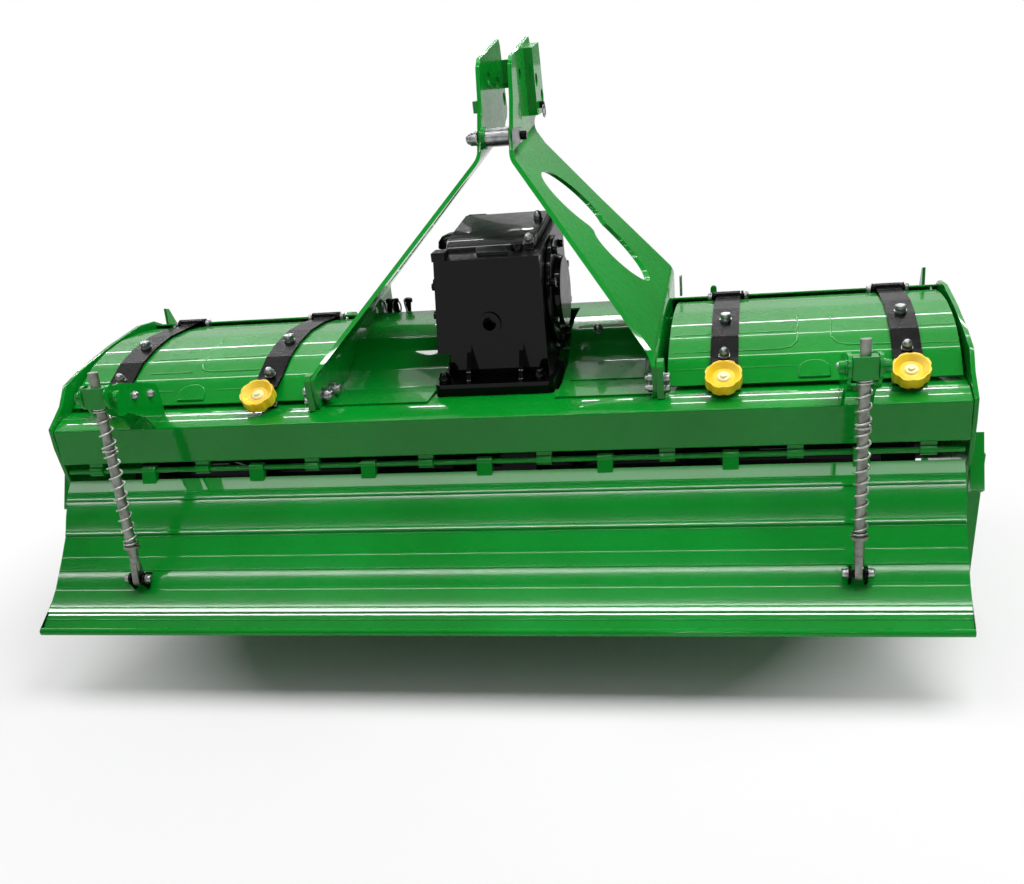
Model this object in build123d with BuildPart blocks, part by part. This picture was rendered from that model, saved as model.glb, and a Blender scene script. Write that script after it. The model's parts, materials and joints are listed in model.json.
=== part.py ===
from build123d import *
import math
import os

os.makedirs("parts", exist_ok=True)

# Three-point-hitch rotary tiller with a centre drive, in millimetres.
# X runs along the rotor, +Y is forward to the tractor, +Z is up and the floor is Z 0.
# Fore-and-aft places are measured from the rotor axis, forward positive, and are called u.

# ---- overall sizes ----
WIDTH = 1720            # over the end plates
ROTOR_Y = 90            # rotor axis ahead of the middle of the whole machine
ROTOR_Z = 250           # rotor axis above the floor
GROUND_GAP = 25         # blade tips above the floor
MAST_GAP = 55           # between the mast plates, for the top link's ball
HITCH_SPAN = 825        # over the shoulders of the lower link pins
MAST_HOLE_R = 13        # top link pin holes
LINK_PIN_R = 14.25      # lower link pins

# ---- sheet and plate thicknesses ----
END_PLATE = 8
LID_SHEET = 3
HOOD_SHEET = 4
BOARD_SHEET = 4
BEAM_WALL = 6
MAST_PLATE = 8
STRAP_THICK = 5
STRAP_WIDE = 50
HITCH_PLATE = 12

# ---- clearances ----
RUN = 0.05              # radial clearance of a turning pin or shaft
MOVE_GAP = 7            # between a moving panel and a fixed one
PLATE_GAP = 0.5         # around a plate that stands in a slot

HALF = WIDTH / 2
INSIDE = HALF - END_PLATE
TIP_RADIUS = ROTOR_Z - GROUND_GAP
SIDES = (("left", -1), ("right", 1))


def side(x):
    """Plane across the machine at x, drawn in (u, z)."""
    return Plane(origin=(x, ROTOR_Y, 0), x_dir=(0, 1, 0), z_dir=(1, 0, 0))


def across(u):
    """Upright plane along the machine at u, drawn in (x, z), facing the rear."""
    return Plane(origin=(0, ROTOR_Y + u, 0), x_dir=(1, 0, 0), z_dir=(0, -1, 0))


def level(z):
    """Flat plane at height z, drawn in (x, u)."""
    return Plane(origin=(0, ROTOR_Y, z))


def beam_top(u):
    """Height of the rear beam's upper face at u."""
    return BEAM_TOP - BEAM_DROP * max(0, BEAM_BREAK - u) / (BEAM_BREAK - BEAM_REAR)


def shield_top(u):
    """Height of the front shield's sloping upper face at u."""
    slope = (SHIELD_CORNER[1] - SHIELD_REAR[1]) / (SHIELD_CORNER[0] - SHIELD_REAR[0])
    return SHIELD_REAR[1] + slope * (u - SHIELD_REAR[0])


def body_top(u):
    """Height of the gearbox's sloping upper face at u."""
    slope = (BODY_TOP_FRONT - BODY_TOP_REAR) / (GEARBOX_FRONT - GEARBOX_REAR)
    return BODY_TOP_REAR + slope * (u - GEARBOX_REAR)


def save(part, name):
    """Label a finished piece and write its STEP file."""
    part.label = name
    export_step(part, f"parts/{name}.step")


def bent_sheet(points, thick, towards=Side.LEFT):
    """Face of a folded sheet: its drawn line, thickened to one side of its direction."""
    with BuildSketch(mode=Mode.PRIVATE) as face:
        with BuildLine() as edge:
            Polyline(*points)
            offset(amount=thick, side=towards)
        make_face()
    return face.sketch


# ---- rear beam, front beam and end plates ----
BEAM_REAR = -330
BEAM_FRONT = -212
BEAM_LOW = 385
BEAM_TOP = 467
BEAM_DROP = 12          # how far the top falls to its rear corner
BEAM_BREAK = -292       # where the top starts to fall
TUBE_REAR = 160
TUBE_FRONT = 240
TUBE_LOW = 440
TUBE_TOP = 500
TUBE_CORNER = 8         # outer corner radius of the front beam

with BuildPart() as rear_beam:
    with BuildSketch(side(-INSIDE)):
        with BuildLine():
            Polyline(
                (BEAM_REAR, BEAM_LOW),
                (BEAM_REAR, BEAM_TOP - BEAM_DROP),
                (BEAM_BREAK, BEAM_TOP),
                (BEAM_FRONT, BEAM_TOP),
                (BEAM_FRONT, BEAM_LOW),
                close=True,
            )
        make_face()
        offset(amount=-BEAM_WALL, mode=Mode.SUBTRACT)
    extrude(amount=2 * INSIDE)
save(rear_beam.part, "rear_beam")

with BuildPart() as front_beam:
    with BuildSketch(side(-INSIDE)):
        with Locations(((TUBE_REAR + TUBE_FRONT) / 2, (TUBE_LOW + TUBE_TOP) / 2)):
            RectangleRounded(TUBE_FRONT - TUBE_REAR, TUBE_TOP - TUBE_LOW, TUBE_CORNER)
            RectangleRounded(
                TUBE_FRONT - TUBE_REAR - 2 * BEAM_WALL,
                TUBE_TOP - TUBE_LOW - 2 * BEAM_WALL,
                TUBE_CORNER - BEAM_WALL,
                mode=Mode.SUBTRACT,
            )
    extrude(amount=2 * INSIDE)
save(front_beam.part, "front_beam")

BEARING_FLANGE_R = 65
BEARING_SPIGOT_R = 45
SPIGOT_FIT = 0.3
PLATE_TOP = [(-330, 459), (-276, 488), (-244, 520), (-178, 533), (-50, 548), (80, 556), (150, 549)]
PLATE_FRONT = [(215, 520), (246, 470), (246, 330), (190, 235)]
PLATE_REAR = [(-200, 215), (-318, 336), (-331, 420)]
PLATE_BOTTOM = (0, 160)

for name, hand in SIDES:
    with BuildPart() as end_plate:
        with BuildSketch(side(hand * (HALF - END_PLATE / 2))):
            with BuildLine():
                Polyline(*PLATE_TOP, *PLATE_FRONT)
                ThreePointArc(PLATE_FRONT[-1], PLATE_BOTTOM, PLATE_REAR[0])
                Polyline(*PLATE_REAR, PLATE_TOP[0])
            make_face()
            with Locations((0, ROTOR_Z)):
                Circle(BEARING_SPIGOT_R + SPIGOT_FIT, mode=Mode.SUBTRACT)
        extrude(amount=END_PLATE / 2, both=True)
    save(end_plate.part, f"end_plate_{name}")

# ---- bearing housings of the rotor ----
AXLE_R = 20
BEARING_FLANGE = 10
BEARING_BOSS_R = 40
BEARING_BOSS = 24
BOSS_TAPER = 8
AXLE_END = HALF + 14
BORE_OVER = 1           # the bore is cut this far past the housing's inner face

for name, hand in SIDES:
    with BuildPart() as bearing:
        with BuildSketch(side(hand * INSIDE)):
            with Locations((0, ROTOR_Z)):
                Circle(BEARING_SPIGOT_R)
        extrude(amount=hand * END_PLATE)
        with BuildSketch(side(hand * HALF)):
            with Locations((0, ROTOR_Z)):
                Circle(BEARING_FLANGE_R)
        extrude(amount=hand * BEARING_FLANGE)
        with BuildSketch(side(hand * (HALF + BEARING_FLANGE))):
            with Locations((0, ROTOR_Z)):
                Circle(BEARING_BOSS_R)
        extrude(amount=hand * (BEARING_BOSS - BEARING_FLANGE), taper=BOSS_TAPER)
        with BuildSketch(side(hand * (INSIDE - BORE_OVER))):
            with Locations((0, ROTOR_Z)):
                Circle(AXLE_R + RUN)
        extrude(amount=hand * (AXLE_END - INSIDE + 2 * BORE_OVER), mode=Mode.SUBTRACT)
    save(bearing.part, f"bearing_{name}")

# ---- side skids that the tiller stands on, with the channels of their rear fastening ----
SKID_WIDE = 34
SKID_THICK = 8
SKID_LINE = [(262, 330), (262, 130), (185, 0), (-150, 0), (-215, 60), (-250, 300), (-255, 330)]
SKID_LUGS = (
    [(-250, 330), (-200, 330), (-190, 270), (-242, 270)],
    [(258, 330), (200, 330), (200, 250), (258, 210)],
)
CHANNEL_MID = (-290, 330)
CHANNEL_LONG = 103
CHANNEL_DEEP = 18
CHANNEL_WALL = 4
CHANNEL_WIDE = 24
CHANNEL_LEAN = 30

for name, hand in SIDES:
    with BuildPart() as skid:
        with BuildSketch(side(hand * HALF)):
            with BuildLine():
                Polyline(*SKID_LINE)
                offset(amount=SKID_THICK, side=Side.RIGHT)
            make_face()
        extrude(amount=hand * SKID_WIDE)
        for lug in SKID_LUGS:
            with BuildSketch(side(hand * HALF)):
                with BuildLine():
                    Polyline(*lug, close=True)
                make_face()
            extrude(amount=hand * SKID_THICK)
        with BuildSketch(side(hand * HALF)):
            with Locations(CHANNEL_MID):
                Rectangle(CHANNEL_DEEP, CHANNEL_LONG, rotation=-CHANNEL_LEAN)
        extrude(amount=hand * CHANNEL_WIDE)
        with BuildSketch(side(hand * (HALF + CHANNEL_WALL))):
            with Locations(CHANNEL_MID):
                Rectangle(
                    CHANNEL_DEEP - 2 * CHANNEL_WALL, 1.1 * CHANNEL_LONG, rotation=-CHANNEL_LEAN
                )
        extrude(amount=hand * CHANNEL_WIDE, mode=Mode.SUBTRACT)
    save(skid.part, f"skid_{name}")

# ---- hood: front shield and the fixed centre panel ----
HINGE_U = 140           # lid hinge axis
HINGE_Z = 540
MAST_FLANGE_X = 317     # middle of the mast's upright flange
SHIELD_REAR = (152, 541)
SHIELD_CORNER = (TUBE_FRONT + HOOD_SHEET, TUBE_TOP + 9)
SHIELD_LINE = [(262, 262), (TUBE_FRONT + HOOD_SHEET, TUBE_LOW), SHIELD_CORNER, SHIELD_REAR]
TAB_X = INSIDE - 30     # upright tab near each end of the shield
TAB_THICK = 6
TAB_HIGH = 34
TAB_LINE = [
    (154, shield_top(154)), (158, shield_top(154) + TAB_HIGH),
    (172, shield_top(154) + TAB_HIGH - 4), (198, shield_top(198)),
]
SLOT_LONG = 150         # slots of the shield for the mast and the hitch brackets
SLOT_HIGH = 300
HOOD_TOP = BEAM_TOP + HOOD_SHEET
CENTRE_LINE = [
    (150, 541), (35, 540), (-28, 530), (-50, 510), (-99, 485), (-181, HOOD_TOP), (-275, HOOD_TOP),
]
HITCH_X = HITCH_SPAN / 2 - HITCH_PLATE / 2
# slots of the shield: middle, plate in the slot, front end, lower end
SHIELD_SLOTS = (
    (MAST_FLANGE_X, MAST_PLATE, TUBE_FRONT, TUBE_TOP),
    (HITCH_X, HITCH_PLATE, TUBE_FRONT + 40, TUBE_LOW - 140),
)
GEARBOX_X = 12          # the gearbox stands a little to the right
GEARBOX_HALF = 98
GEARBOX_REAR = -190
GEARBOX_FRONT = 100
FOOT_REAR = -240
FOOT_FRONT = -90
FOOT_HALF = 113
FOOT_THICK = 23
BODY_GAP = 8
CUT_LONG = 400          # cut of the centre panel around the gearbox, open to the rear

with BuildPart() as front_shield:
    with BuildSketch(side(-INSIDE)):
        add(bent_sheet(SHIELD_LINE, HOOD_SHEET))
    extrude(amount=2 * INSIDE)
    for _, hand in SIDES:
        with BuildSketch(side(hand * TAB_X)):
            with BuildLine():
                Polyline(*TAB_LINE, close=True)
            make_face()
        extrude(amount=hand * TAB_THICK)
    for slot_x, plate, slot_front, slot_low in SHIELD_SLOTS:
        for _, hand in SIDES:
            with BuildSketch(side(hand * slot_x)):
                with Locations((slot_front, slot_low)):
                    Rectangle(SLOT_LONG, SLOT_HIGH, align=(Align.MAX, Align.MIN))
            extrude(amount=plate / 2 + PLATE_GAP, both=True, mode=Mode.SUBTRACT)
save(front_shield.part, "front_shield")

CENTRE_HALF = MAST_FLANGE_X - MAST_PLATE / 2 - PLATE_GAP
with BuildPart() as centre_hood:
    with BuildSketch(side(-CENTRE_HALF)):
        add(bent_sheet(CENTRE_LINE, HOOD_SHEET))
    extrude(amount=2 * CENTRE_HALF)
    with BuildSketch(level(BEAM_LOW)):
        with Locations((GEARBOX_X, GEARBOX_FRONT + BODY_GAP)):
            Rectangle(2 * (FOOT_HALF + BODY_GAP), CUT_LONG, align=(Align.CENTER, Align.MAX))
    extrude(amount=2 * (HINGE_Z - BEAM_LOW), mode=Mode.SUBTRACT)
save(centre_hood.part, "centre_hood")

# ---- gearbox and centre drive case ----
SHAFT_Z = 589
SHAFT_X = 7
BODY_TOP_REAR = 706
BODY_TOP_FRONT = 736
PTO_JOURNAL_R = 20
PTO_DEPTH = 60
CASE_HALF = 48
CASE_TOP_HALF = 85
CASE_R = 86
ROTOR_SHAFT_R = 30

FOOT_TOP = BEAM_TOP + FOOT_THICK
LEFT_WALL = GEARBOX_X - GEARBOX_HALF
COVER_MID = (-55, 612)
COVER_SEAT_R = 78       # round seat of the left cover on the leaning wall
FLARE = 14              # how far the left wall leans out down to the waist
WAIST_HIGH = 42         # from the foot up to the waist
WAIST_LIP = 6
WAIST_IN = 12
FOOT_CORNER = 12
PLUG_R = 21
PLUG_HOLE_R = 12.5
PLUG_HIGH = 5
PLUG_DEEP = 30
RIBS_X = (-49, 51)      # the two ribs between the rear face and the foot
RIB_WIDE = 8
RIB_HIGH = 62
RIB_START = 10          # foot of each rib ahead of the foot's rear edge

with BuildPart() as gearbox:
    with BuildSketch(side(LEFT_WALL + WAIST_IN)):
        with BuildLine():
            Polyline(
                (GEARBOX_REAR, FOOT_TOP),
                (GEARBOX_REAR, BODY_TOP_REAR),
                (GEARBOX_FRONT, BODY_TOP_FRONT),
                (GEARBOX_FRONT, FOOT_TOP),
                close=True,
            )
        make_face()
    extrude(amount=2 * GEARBOX_HALF - WAIST_IN)
    with BuildSketch(across(GEARBOX_REAR)):
        with BuildLine():
            Polyline(
                (LEFT_WALL, BODY_TOP_REAR),
                (LEFT_WALL - FLARE, FOOT_TOP + WAIST_HIGH + WAIST_LIP),
                (LEFT_WALL + WAIST_IN, FOOT_TOP + WAIST_HIGH),
                (LEFT_WALL, FOOT_TOP),
                (GEARBOX_X, FOOT_TOP),
                (GEARBOX_X, BODY_TOP_REAR),
                close=True,
            )
        make_face()
    extrude(amount=-(GEARBOX_FRONT - GEARBOX_REAR))
    with BuildSketch(side(LEFT_WALL - FLARE)):
        with Locations(COVER_MID):
            Circle(COVER_SEAT_R)
    extrude(amount=FLARE)
    with BuildSketch(level(BEAM_TOP)):
        with Locations((GEARBOX_X, (FOOT_REAR + FOOT_FRONT) / 2)):
            RectangleRounded(2 * FOOT_HALF, FOOT_FRONT - FOOT_REAR, FOOT_CORNER)
    extrude(amount=FOOT_THICK)
    with BuildSketch(across(GEARBOX_REAR)):
        with Locations((SHAFT_X, SHAFT_Z)):
            Circle(PLUG_R)
    extrude(amount=PLUG_HIGH)
    with BuildSketch(across(GEARBOX_REAR - PLUG_HIGH)):
        with Locations((SHAFT_X, SHAFT_Z)):
            Circle(PLUG_HOLE_R)
    extrude(amount=-PLUG_DEEP, mode=Mode.SUBTRACT)
    with BuildSketch(across(GEARBOX_FRONT)):
        with Locations((SHAFT_X, SHAFT_Z)):
            Circle(PTO_JOURNAL_R + RUN)
    extrude(amount=PTO_DEPTH, mode=Mode.SUBTRACT)
    for rib_x in RIBS_X:
        with BuildSketch(side(GEARBOX_X + rib_x - RIB_WIDE / 2)):
            with BuildLine():
                Polyline(
                    (GEARBOX_REAR, FOOT_TOP),
                    (FOOT_REAR + RIB_START, FOOT_TOP),
                    (GEARBOX_REAR, FOOT_TOP + RIB_HIGH),
                    close=True,
                )
            make_face()
        extrude(amount=RIB_WIDE)
save(gearbox.part, "gearbox")

DOME_TAPER = 20
# side covers: name, hand, seat, rim radius, rim thickness, dome radius, dome height
COVERS = (
    ("gearbox_cover_right", 1, GEARBOX_X + GEARBOX_HALF, 104, 10, 70, 12),
    ("gearbox_cover_left", -1, LEFT_WALL - FLARE, COVER_SEAT_R, 8, 50, 8),
)
for name, hand, seat, rim_r, rim, dome_r, dome in COVERS:
    with BuildPart() as cover:
        with BuildSketch(side(seat)):
            with Locations(COVER_MID):
                Circle(rim_r)
        extrude(amount=hand * rim)
        with BuildSketch(side(seat + hand * rim)):
            with Locations(COVER_MID):
                Circle(dome_r)
        extrude(amount=hand * dome, taper=DOME_TAPER)
    save(cover.part, name)

TOP_COVER_INSET = 12
TOP_COVER = [(-150, body_top(-150)), (-120, 732), (40, 748), (80, body_top(80))]

with BuildPart() as top_cover:
    with BuildSketch(side(LEFT_WALL + TOP_COVER_INSET)):
        with BuildLine():
            Polyline(*TOP_COVER, close=True)
        make_face()
    extrude(amount=2 * (GEARBOX_HALF - TOP_COVER_INSET))
save(top_cover.part, "gearbox_top_cover")

with BuildPart() as drive_case:
    with BuildSketch(side(-CASE_HALF)):
        with BuildLine():
            Polyline(
                (-CASE_TOP_HALF, FOOT_TOP),
                (CASE_TOP_HALF, FOOT_TOP),
                (CASE_R, ROTOR_Z),
                (-CASE_R, ROTOR_Z),
                close=True,
            )
        make_face()
        with Locations((0, ROTOR_Z)):
            Circle(CASE_R)
            Circle(ROTOR_SHAFT_R + RUN, mode=Mode.SUBTRACT)
    extrude(amount=2 * CASE_HALF)
save(drive_case.part, "drive_case")

# ---- drive shaft stub and its guard ----
PTO_R = 17.5
PTO_LONG = 95           # splined end, from the step of the journal
PTO_STEP = 5            # journal's end ahead of the gearbox
PTO_FLOOR = 1           # gap behind the journal
SPLINES = 6
GROOVE = (5, 8.5)
GUARD_R = 68
GUARD_LONG = 120
GUARD_SHEET = 3
GUARD_LOW = 556

with BuildPart() as pto_shaft:
    with BuildSketch(across(GEARBOX_FRONT - PTO_DEPTH + PTO_FLOOR)):
        with Locations((SHAFT_X, SHAFT_Z)):
            Circle(PTO_JOURNAL_R)
    extrude(amount=-(PTO_DEPTH - PTO_FLOOR + PTO_STEP))
    with BuildSketch(across(GEARBOX_FRONT + PTO_STEP)):
        with Locations((SHAFT_X, SHAFT_Z)):
            Circle(PTO_R)
            with PolarLocations(PTO_R, SPLINES):
                Rectangle(*GROOVE, mode=Mode.SUBTRACT)
    extrude(amount=-PTO_LONG)
save(pto_shaft.part, "pto_shaft")

with BuildPart() as pto_guard:
    with BuildSketch(across(GEARBOX_FRONT)):
        with Locations((SHAFT_X, SHAFT_Z)):
            Circle(GUARD_R)
        with Locations((SHAFT_X, SHAFT_Z - GUARD_R / 2)):
            Rectangle(2 * GUARD_R, GUARD_R)
        guard_inside = offset(amount=-GUARD_SHEET, mode=Mode.PRIVATE)
        add(guard_inside, mode=Mode.SUBTRACT)
        with Locations((SHAFT_X, GUARD_LOW - GUARD_R)):
            Rectangle(3 * GUARD_R, 2 * GUARD_R, mode=Mode.SUBTRACT)
    extrude(amount=-GUARD_LONG)
save(pto_guard.part, "pto_guard")

# ---- mast: two folded plates, drawn as a folded strip cut to the side outline ----
MAST_RISE = 0.10        # rise of the mast's fold lines per unit forward
FOLD_TOP = 848          # fold heights at the rotor axis
FOLD_LOW = 560
FOLD_R = 28             # bend radius at the middle of the plate
MAST_TOP = 1200
STRIP_REAR = -400       # the folded strip is longer than the outline both ways
STRIP_LONG = 900
STRIP_LOW = 400
MAST_CENTRE = (MAST_GAP + MAST_PLATE) / 2
MAST_HOLES = ((181, 984), (262, 970), (314, 937))
MAST_PIN = (63, 885)
MAST_REAR = BEAM_BREAK - 6
MAST_OUTLINE = [
    (42, 862), (90, 950), (104, 1006), (122, 1022), (314, 1049), (322, 1037), (336, 916), (326, 901),
    (304, 893), (262, 850), (244, 740), (232, 588), (238, 574), (238, TUBE_TOP), (165, TUBE_TOP),
    (BEAM_FRONT, BEAM_TOP), (BEAM_BREAK + 2, BEAM_TOP), (MAST_REAR, 526), (-262, 546),
]
# waisted cut-out of each mast plate: a corner, then a point on the arc to the next corner
MAST_WINDOW = (
    ((98, 812), (160, 765)),
    ((130, 702), (116, 648)),
    ((48, 602), (-4, 645)),
    ((48, 706), (28, 765)),
)
WINDOW_R = 10
SPACER_R = 17
# stiffening block on the right plate's outer face, drilled with the pin holes
BLOCK_OUTLINE = [(240, 1030), (322, 1037), (334, 930), (318, 905), (243, 905)]
BLOCK_THICK = 18
FOOT_LUG = [
    (MAST_REAR, BEAM_TOP), (MAST_REAR, 524), (MAST_REAR + 8, 532), (-268, 532), (-262, 524),
    (-262, BEAM_TOP),
]
FOOT_LUG_THICK = 12

for name, hand in SIDES:
    with BuildSketch(side(0)) as window:
        with BuildLine():
            for number, (corner, bulge) in enumerate(MAST_WINDOW):
                ThreePointArc(corner, bulge, MAST_WINDOW[(number + 1) % len(MAST_WINDOW)][0])
        make_face()
        fillet(window.vertices(), WINDOW_R)
    with BuildPart() as mast:
        with BuildSketch(side(hand * MAST_GAP / 4)):
            with BuildLine():
                Polyline(*MAST_OUTLINE, close=True)
            make_face()
            add(window.sketch_local, mode=Mode.SUBTRACT)
        extrude(amount=hand * (MAST_FLANGE_X + MAST_PLATE))
        with BuildSketch(across(STRIP_REAR)):
            with BuildLine():
                FilletPolyline(
                    (hand * MAST_FLANGE_X, STRIP_LOW),
                    (hand * MAST_FLANGE_X, FOLD_LOW + STRIP_REAR * MAST_RISE),
                    (hand * MAST_CENTRE, FOLD_TOP + STRIP_REAR * MAST_RISE),
                    (hand * MAST_CENTRE, MAST_TOP),
                    radius=FOLD_R,
                )
                offset(amount=MAST_PLATE / 2, side=Side.BOTH)
            make_face()
        extrude(amount=STRIP_LONG, dir=(0, 1, MAST_RISE), mode=Mode.INTERSECT)
        with BuildSketch(side(hand * (MAST_FLANGE_X + MAST_PLATE / 2))):
            with BuildLine():
                Polyline(*FOOT_LUG, close=True)
            make_face()
        extrude(amount=hand * FOOT_LUG_THICK)
        if name == "right":
            with BuildSketch(side(MAST_GAP / 2 + MAST_PLATE)):
                with BuildLine():
                    Polyline(*BLOCK_OUTLINE, close=True)
                make_face()
            extrude(amount=BLOCK_THICK)
        with BuildSketch(side(0)):
            with Locations(*MAST_HOLES):
                Circle(MAST_HOLE_R)
        extrude(amount=hand * (MAST_GAP + BLOCK_THICK), mode=Mode.SUBTRACT)
    save(mast.part, f"mast_{name}")

with BuildPart() as mast_pin:
    with BuildSketch(side(-MAST_GAP / 2)):
        with Locations(MAST_PIN):
            Circle(SPACER_R)
    extrude(amount=MAST_GAP)
save(mast_pin.part, "mast_spacer_rear")

FRONT_SPACER = [(322, 1010), (338, 1010), (341, 956), (331, 956), (322, 966)]

with BuildPart() as mast_block:
    with BuildSketch(side(-MAST_GAP / 2)):
        with BuildLine():
            Polyline(*FRONT_SPACER, close=True)
        make_face()
    extrude(amount=MAST_GAP)
save(mast_block.part, "mast_spacer_front")

# ---- lower hitch brackets with their link pins ----
LINK_U = 345
LINK_Z = 360
LINK_LONG = 60
HITCH_OUTLINE = [(168, TUBE_TOP), (168, 526), (205, 535), (234, 528), (262, 500), (376, 372)]
HITCH_NOSE = (LINK_U, 326)          # lowest point of the rounded end
HITCH_BACK = [
    (313, 348), (262, 400), (170, 430), (170, TUBE_LOW), (TUBE_FRONT, TUBE_LOW),
    (TUBE_FRONT, TUBE_TOP), (168, TUBE_TOP),
]

for name, hand in SIDES:
    with BuildPart() as hitch:
        with BuildSketch(side(hand * (HITCH_X - HITCH_PLATE / 2))):
            with BuildLine():
                Polyline(*HITCH_OUTLINE)
                ThreePointArc(HITCH_OUTLINE[-1], HITCH_NOSE, HITCH_BACK[0])
                Polyline(*HITCH_BACK)
            make_face()
        extrude(amount=hand * HITCH_PLATE)
        with BuildSketch(side(hand * HITCH_X)):
            with Locations((LINK_U, LINK_Z)):
                Circle(LINK_PIN_R)
        extrude(amount=hand * (HITCH_PLATE / 2 + LINK_LONG))
    save(hitch.part, f"hitch_bracket_{name}")

# ---- rotor: shaft, two tubes with flanges, and the blades ----
TUBE_R = 38
TUBE_INNER = 62
TUBE_OUTER = INSIDE - 52
FLANGE_R = 95
FLANGE_THICK = 8
FLANGE_FIRST = 125
FLANGE_LAST = INSIDE - 67
FLANGE_ROWS = 4
FLANGES = [
    FLANGE_FIRST + row * (FLANGE_LAST - FLANGE_FIRST) / (FLANGE_ROWS - 1)
    for row in range(FLANGE_ROWS)
]
BLADES_EACH = 6
BLADE_THICK = 8
BLADE_REACH = 62
ROW_TURN = 15           # each row of blades is turned on from the last
# blade outline and its bent tip, drawn out along the blade from the rotor axis
BLADE_LINE = [
    (60, -20), (TIP_RADIUS - 75, -34), (TIP_RADIUS - 12, -20), (TIP_RADIUS - 4, 30),
    (TIP_RADIUS - 45, 20), (60, 20),
]
BLADE_TIP = [
    (TIP_RADIUS - 24, -18), (TIP_RADIUS - 12, -20), (TIP_RADIUS - 4, 30), (TIP_RADIUS - 13, 30),
]

with BuildPart() as rotor_shaft:
    with BuildSketch(side(-TUBE_INNER)):
        with Locations((0, ROTOR_Z)):
            Circle(ROTOR_SHAFT_R)
    extrude(amount=2 * TUBE_INNER)
save(rotor_shaft.part, "rotor_shaft")

for name, hand in SIDES:
    with BuildPart() as tube:
        with BuildSketch(side(hand * TUBE_INNER)):
            with Locations((0, ROTOR_Z)):
                Circle(TUBE_R)
        extrude(amount=hand * (TUBE_OUTER - TUBE_INNER))
        with BuildSketch(side(hand * TUBE_OUTER)):
            with Locations((0, ROTOR_Z)):
                Circle(AXLE_R)
        extrude(amount=hand * (AXLE_END - 1 - TUBE_OUTER))
    save(tube.part, f"rotor_tube_{name}")

    with BuildPart() as flanges:
        for flange_x in FLANGES:
            with BuildSketch(side(hand * flange_x)):
                with Locations((0, ROTOR_Z)):
                    Circle(FLANGE_R)
                    Circle(TUBE_R, mode=Mode.SUBTRACT)
            extrude(amount=FLANGE_THICK / 2, both=True)
    save(flanges.part, f"blade_flanges_{name}")

for name, hand in SIDES:
    with BuildPart() as blades:
        for row, flange_x in enumerate(FLANGES):
            for blade in range(BLADES_EACH):
                turn = math.radians(360 / BLADES_EACH * blade + ROW_TURN * row)
                lean = 1 if blade % 2 else -1
                if flange_x == FLANGES[-1]:
                    lean = -hand
                blade_plane = Plane(
                    origin=(hand * flange_x + lean * FLANGE_THICK / 2, ROTOR_Y, ROTOR_Z),
                    x_dir=(0, math.cos(turn), math.sin(turn)),
                    z_dir=(1, 0, 0),
                )
                with BuildSketch(blade_plane):
                    with BuildLine():
                        Polyline(*BLADE_LINE, close=True)
                    make_face()
                extrude(amount=lean * BLADE_THICK)
                with BuildSketch(blade_plane):
                    with BuildLine():
                        Polyline(*BLADE_TIP, close=True)
                    make_face()
                extrude(amount=lean * BLADE_REACH)
    save(blades.part, f"blades_{name}")

# ---- lids with their straps, hinges, clamps and knobs ----
LID_INNER = 335
LID_OUTER = INSIDE - MOVE_GAP
LID_LINE = [
    (123, 537.3), (55, 546), (-20, 549), (-90, 543), (-150, 531), (-205, 509), (-253, 476),
]
STRAP_X = (LID_INNER + 102, LID_OUTER - 91)
EYE_R = 11
STRAP_NECK = [
    (LID_LINE[0][0], LID_LINE[0][1] + 0.2), (LID_LINE[0][0], LID_LINE[0][1] + 4),
    (HINGE_U, HINGE_Z + EYE_R), (HINGE_U, LID_LINE[0][1] + 0.2),
]
HINGE_EAR = [(165, shield_top(165)), SHIELD_REAR, (HINGE_U - 3, HINGE_Z - 10), (143, 550.5)]
HINGE_PIN_R = 6
HINGE_PIN_OVER = 10     # hinge pin past each side of its strap
CLAMP_PIN = (-266, BEAM_TOP + 6)
CLAMP_PIN_R = 3.5
CLAMP_EAR_X = 18        # inner faces of the clamp's ears
CLAMP_EAR_LONG = 14
CLAMP_EAR_HIGH = 11.5
CLAMP_PIN_OVER = 3      # clamp pin past each ear
KNOB_LEAN = 30          # the swing bolt and knob lean back
STRAP_LIFT = 11         # strap tail above the clamp pin, along the swing bolt
TAIL_AHEAD = 28         # strap tail ahead of and behind the swing bolt
TAIL_BEHIND = 12
FORK_HALF = 12.5        # the tail is forked around the swing bolt
FORK_LONG = 60
FORK_UNDER = 2          # the fork's cut starts this far below the strap
KNOB_R = 33
KNOB_HIGH = 20
KNOB_DISH = 8
KNOB_LOBES = 8
LOBE_R = 14             # rounded hollows between the lobes
LOBE_DEEP = 2
DISH_TAPER = 50
STUD_R = 5
STUD_FOOT = CLAMP_PIN_R + 3
STUD_GAP = 1
EAR = 5
EAR_GAP = 1.5
BOLT_RISE = Vector(0, -math.sin(math.radians(KNOB_LEAN)), math.cos(math.radians(KNOB_LEAN)))


def up_bolt(x, distance):
    """Plane square to a clamp's leaning swing bolt, this far up from its pin."""
    foot = Vector(x, ROTOR_Y + CLAMP_PIN[0], CLAMP_PIN[1])
    return Plane(origin=foot + BOLT_RISE * distance, x_dir=(1, 0, 0), z_dir=BOLT_RISE)


tail_mid = (CLAMP_PIN[0] + STRAP_LIFT * BOLT_RISE.Y, CLAMP_PIN[1] + STRAP_LIFT * BOLT_RISE.Z)
STRAP_LINE = LID_LINE[:-1] + [
    (tail_mid[0] + TAIL_AHEAD * BOLT_RISE.Z, tail_mid[1] - TAIL_AHEAD * BOLT_RISE.Y),
    (tail_mid[0] - TAIL_BEHIND * BOLT_RISE.Z, tail_mid[1] + TAIL_BEHIND * BOLT_RISE.Y),
]

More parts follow.
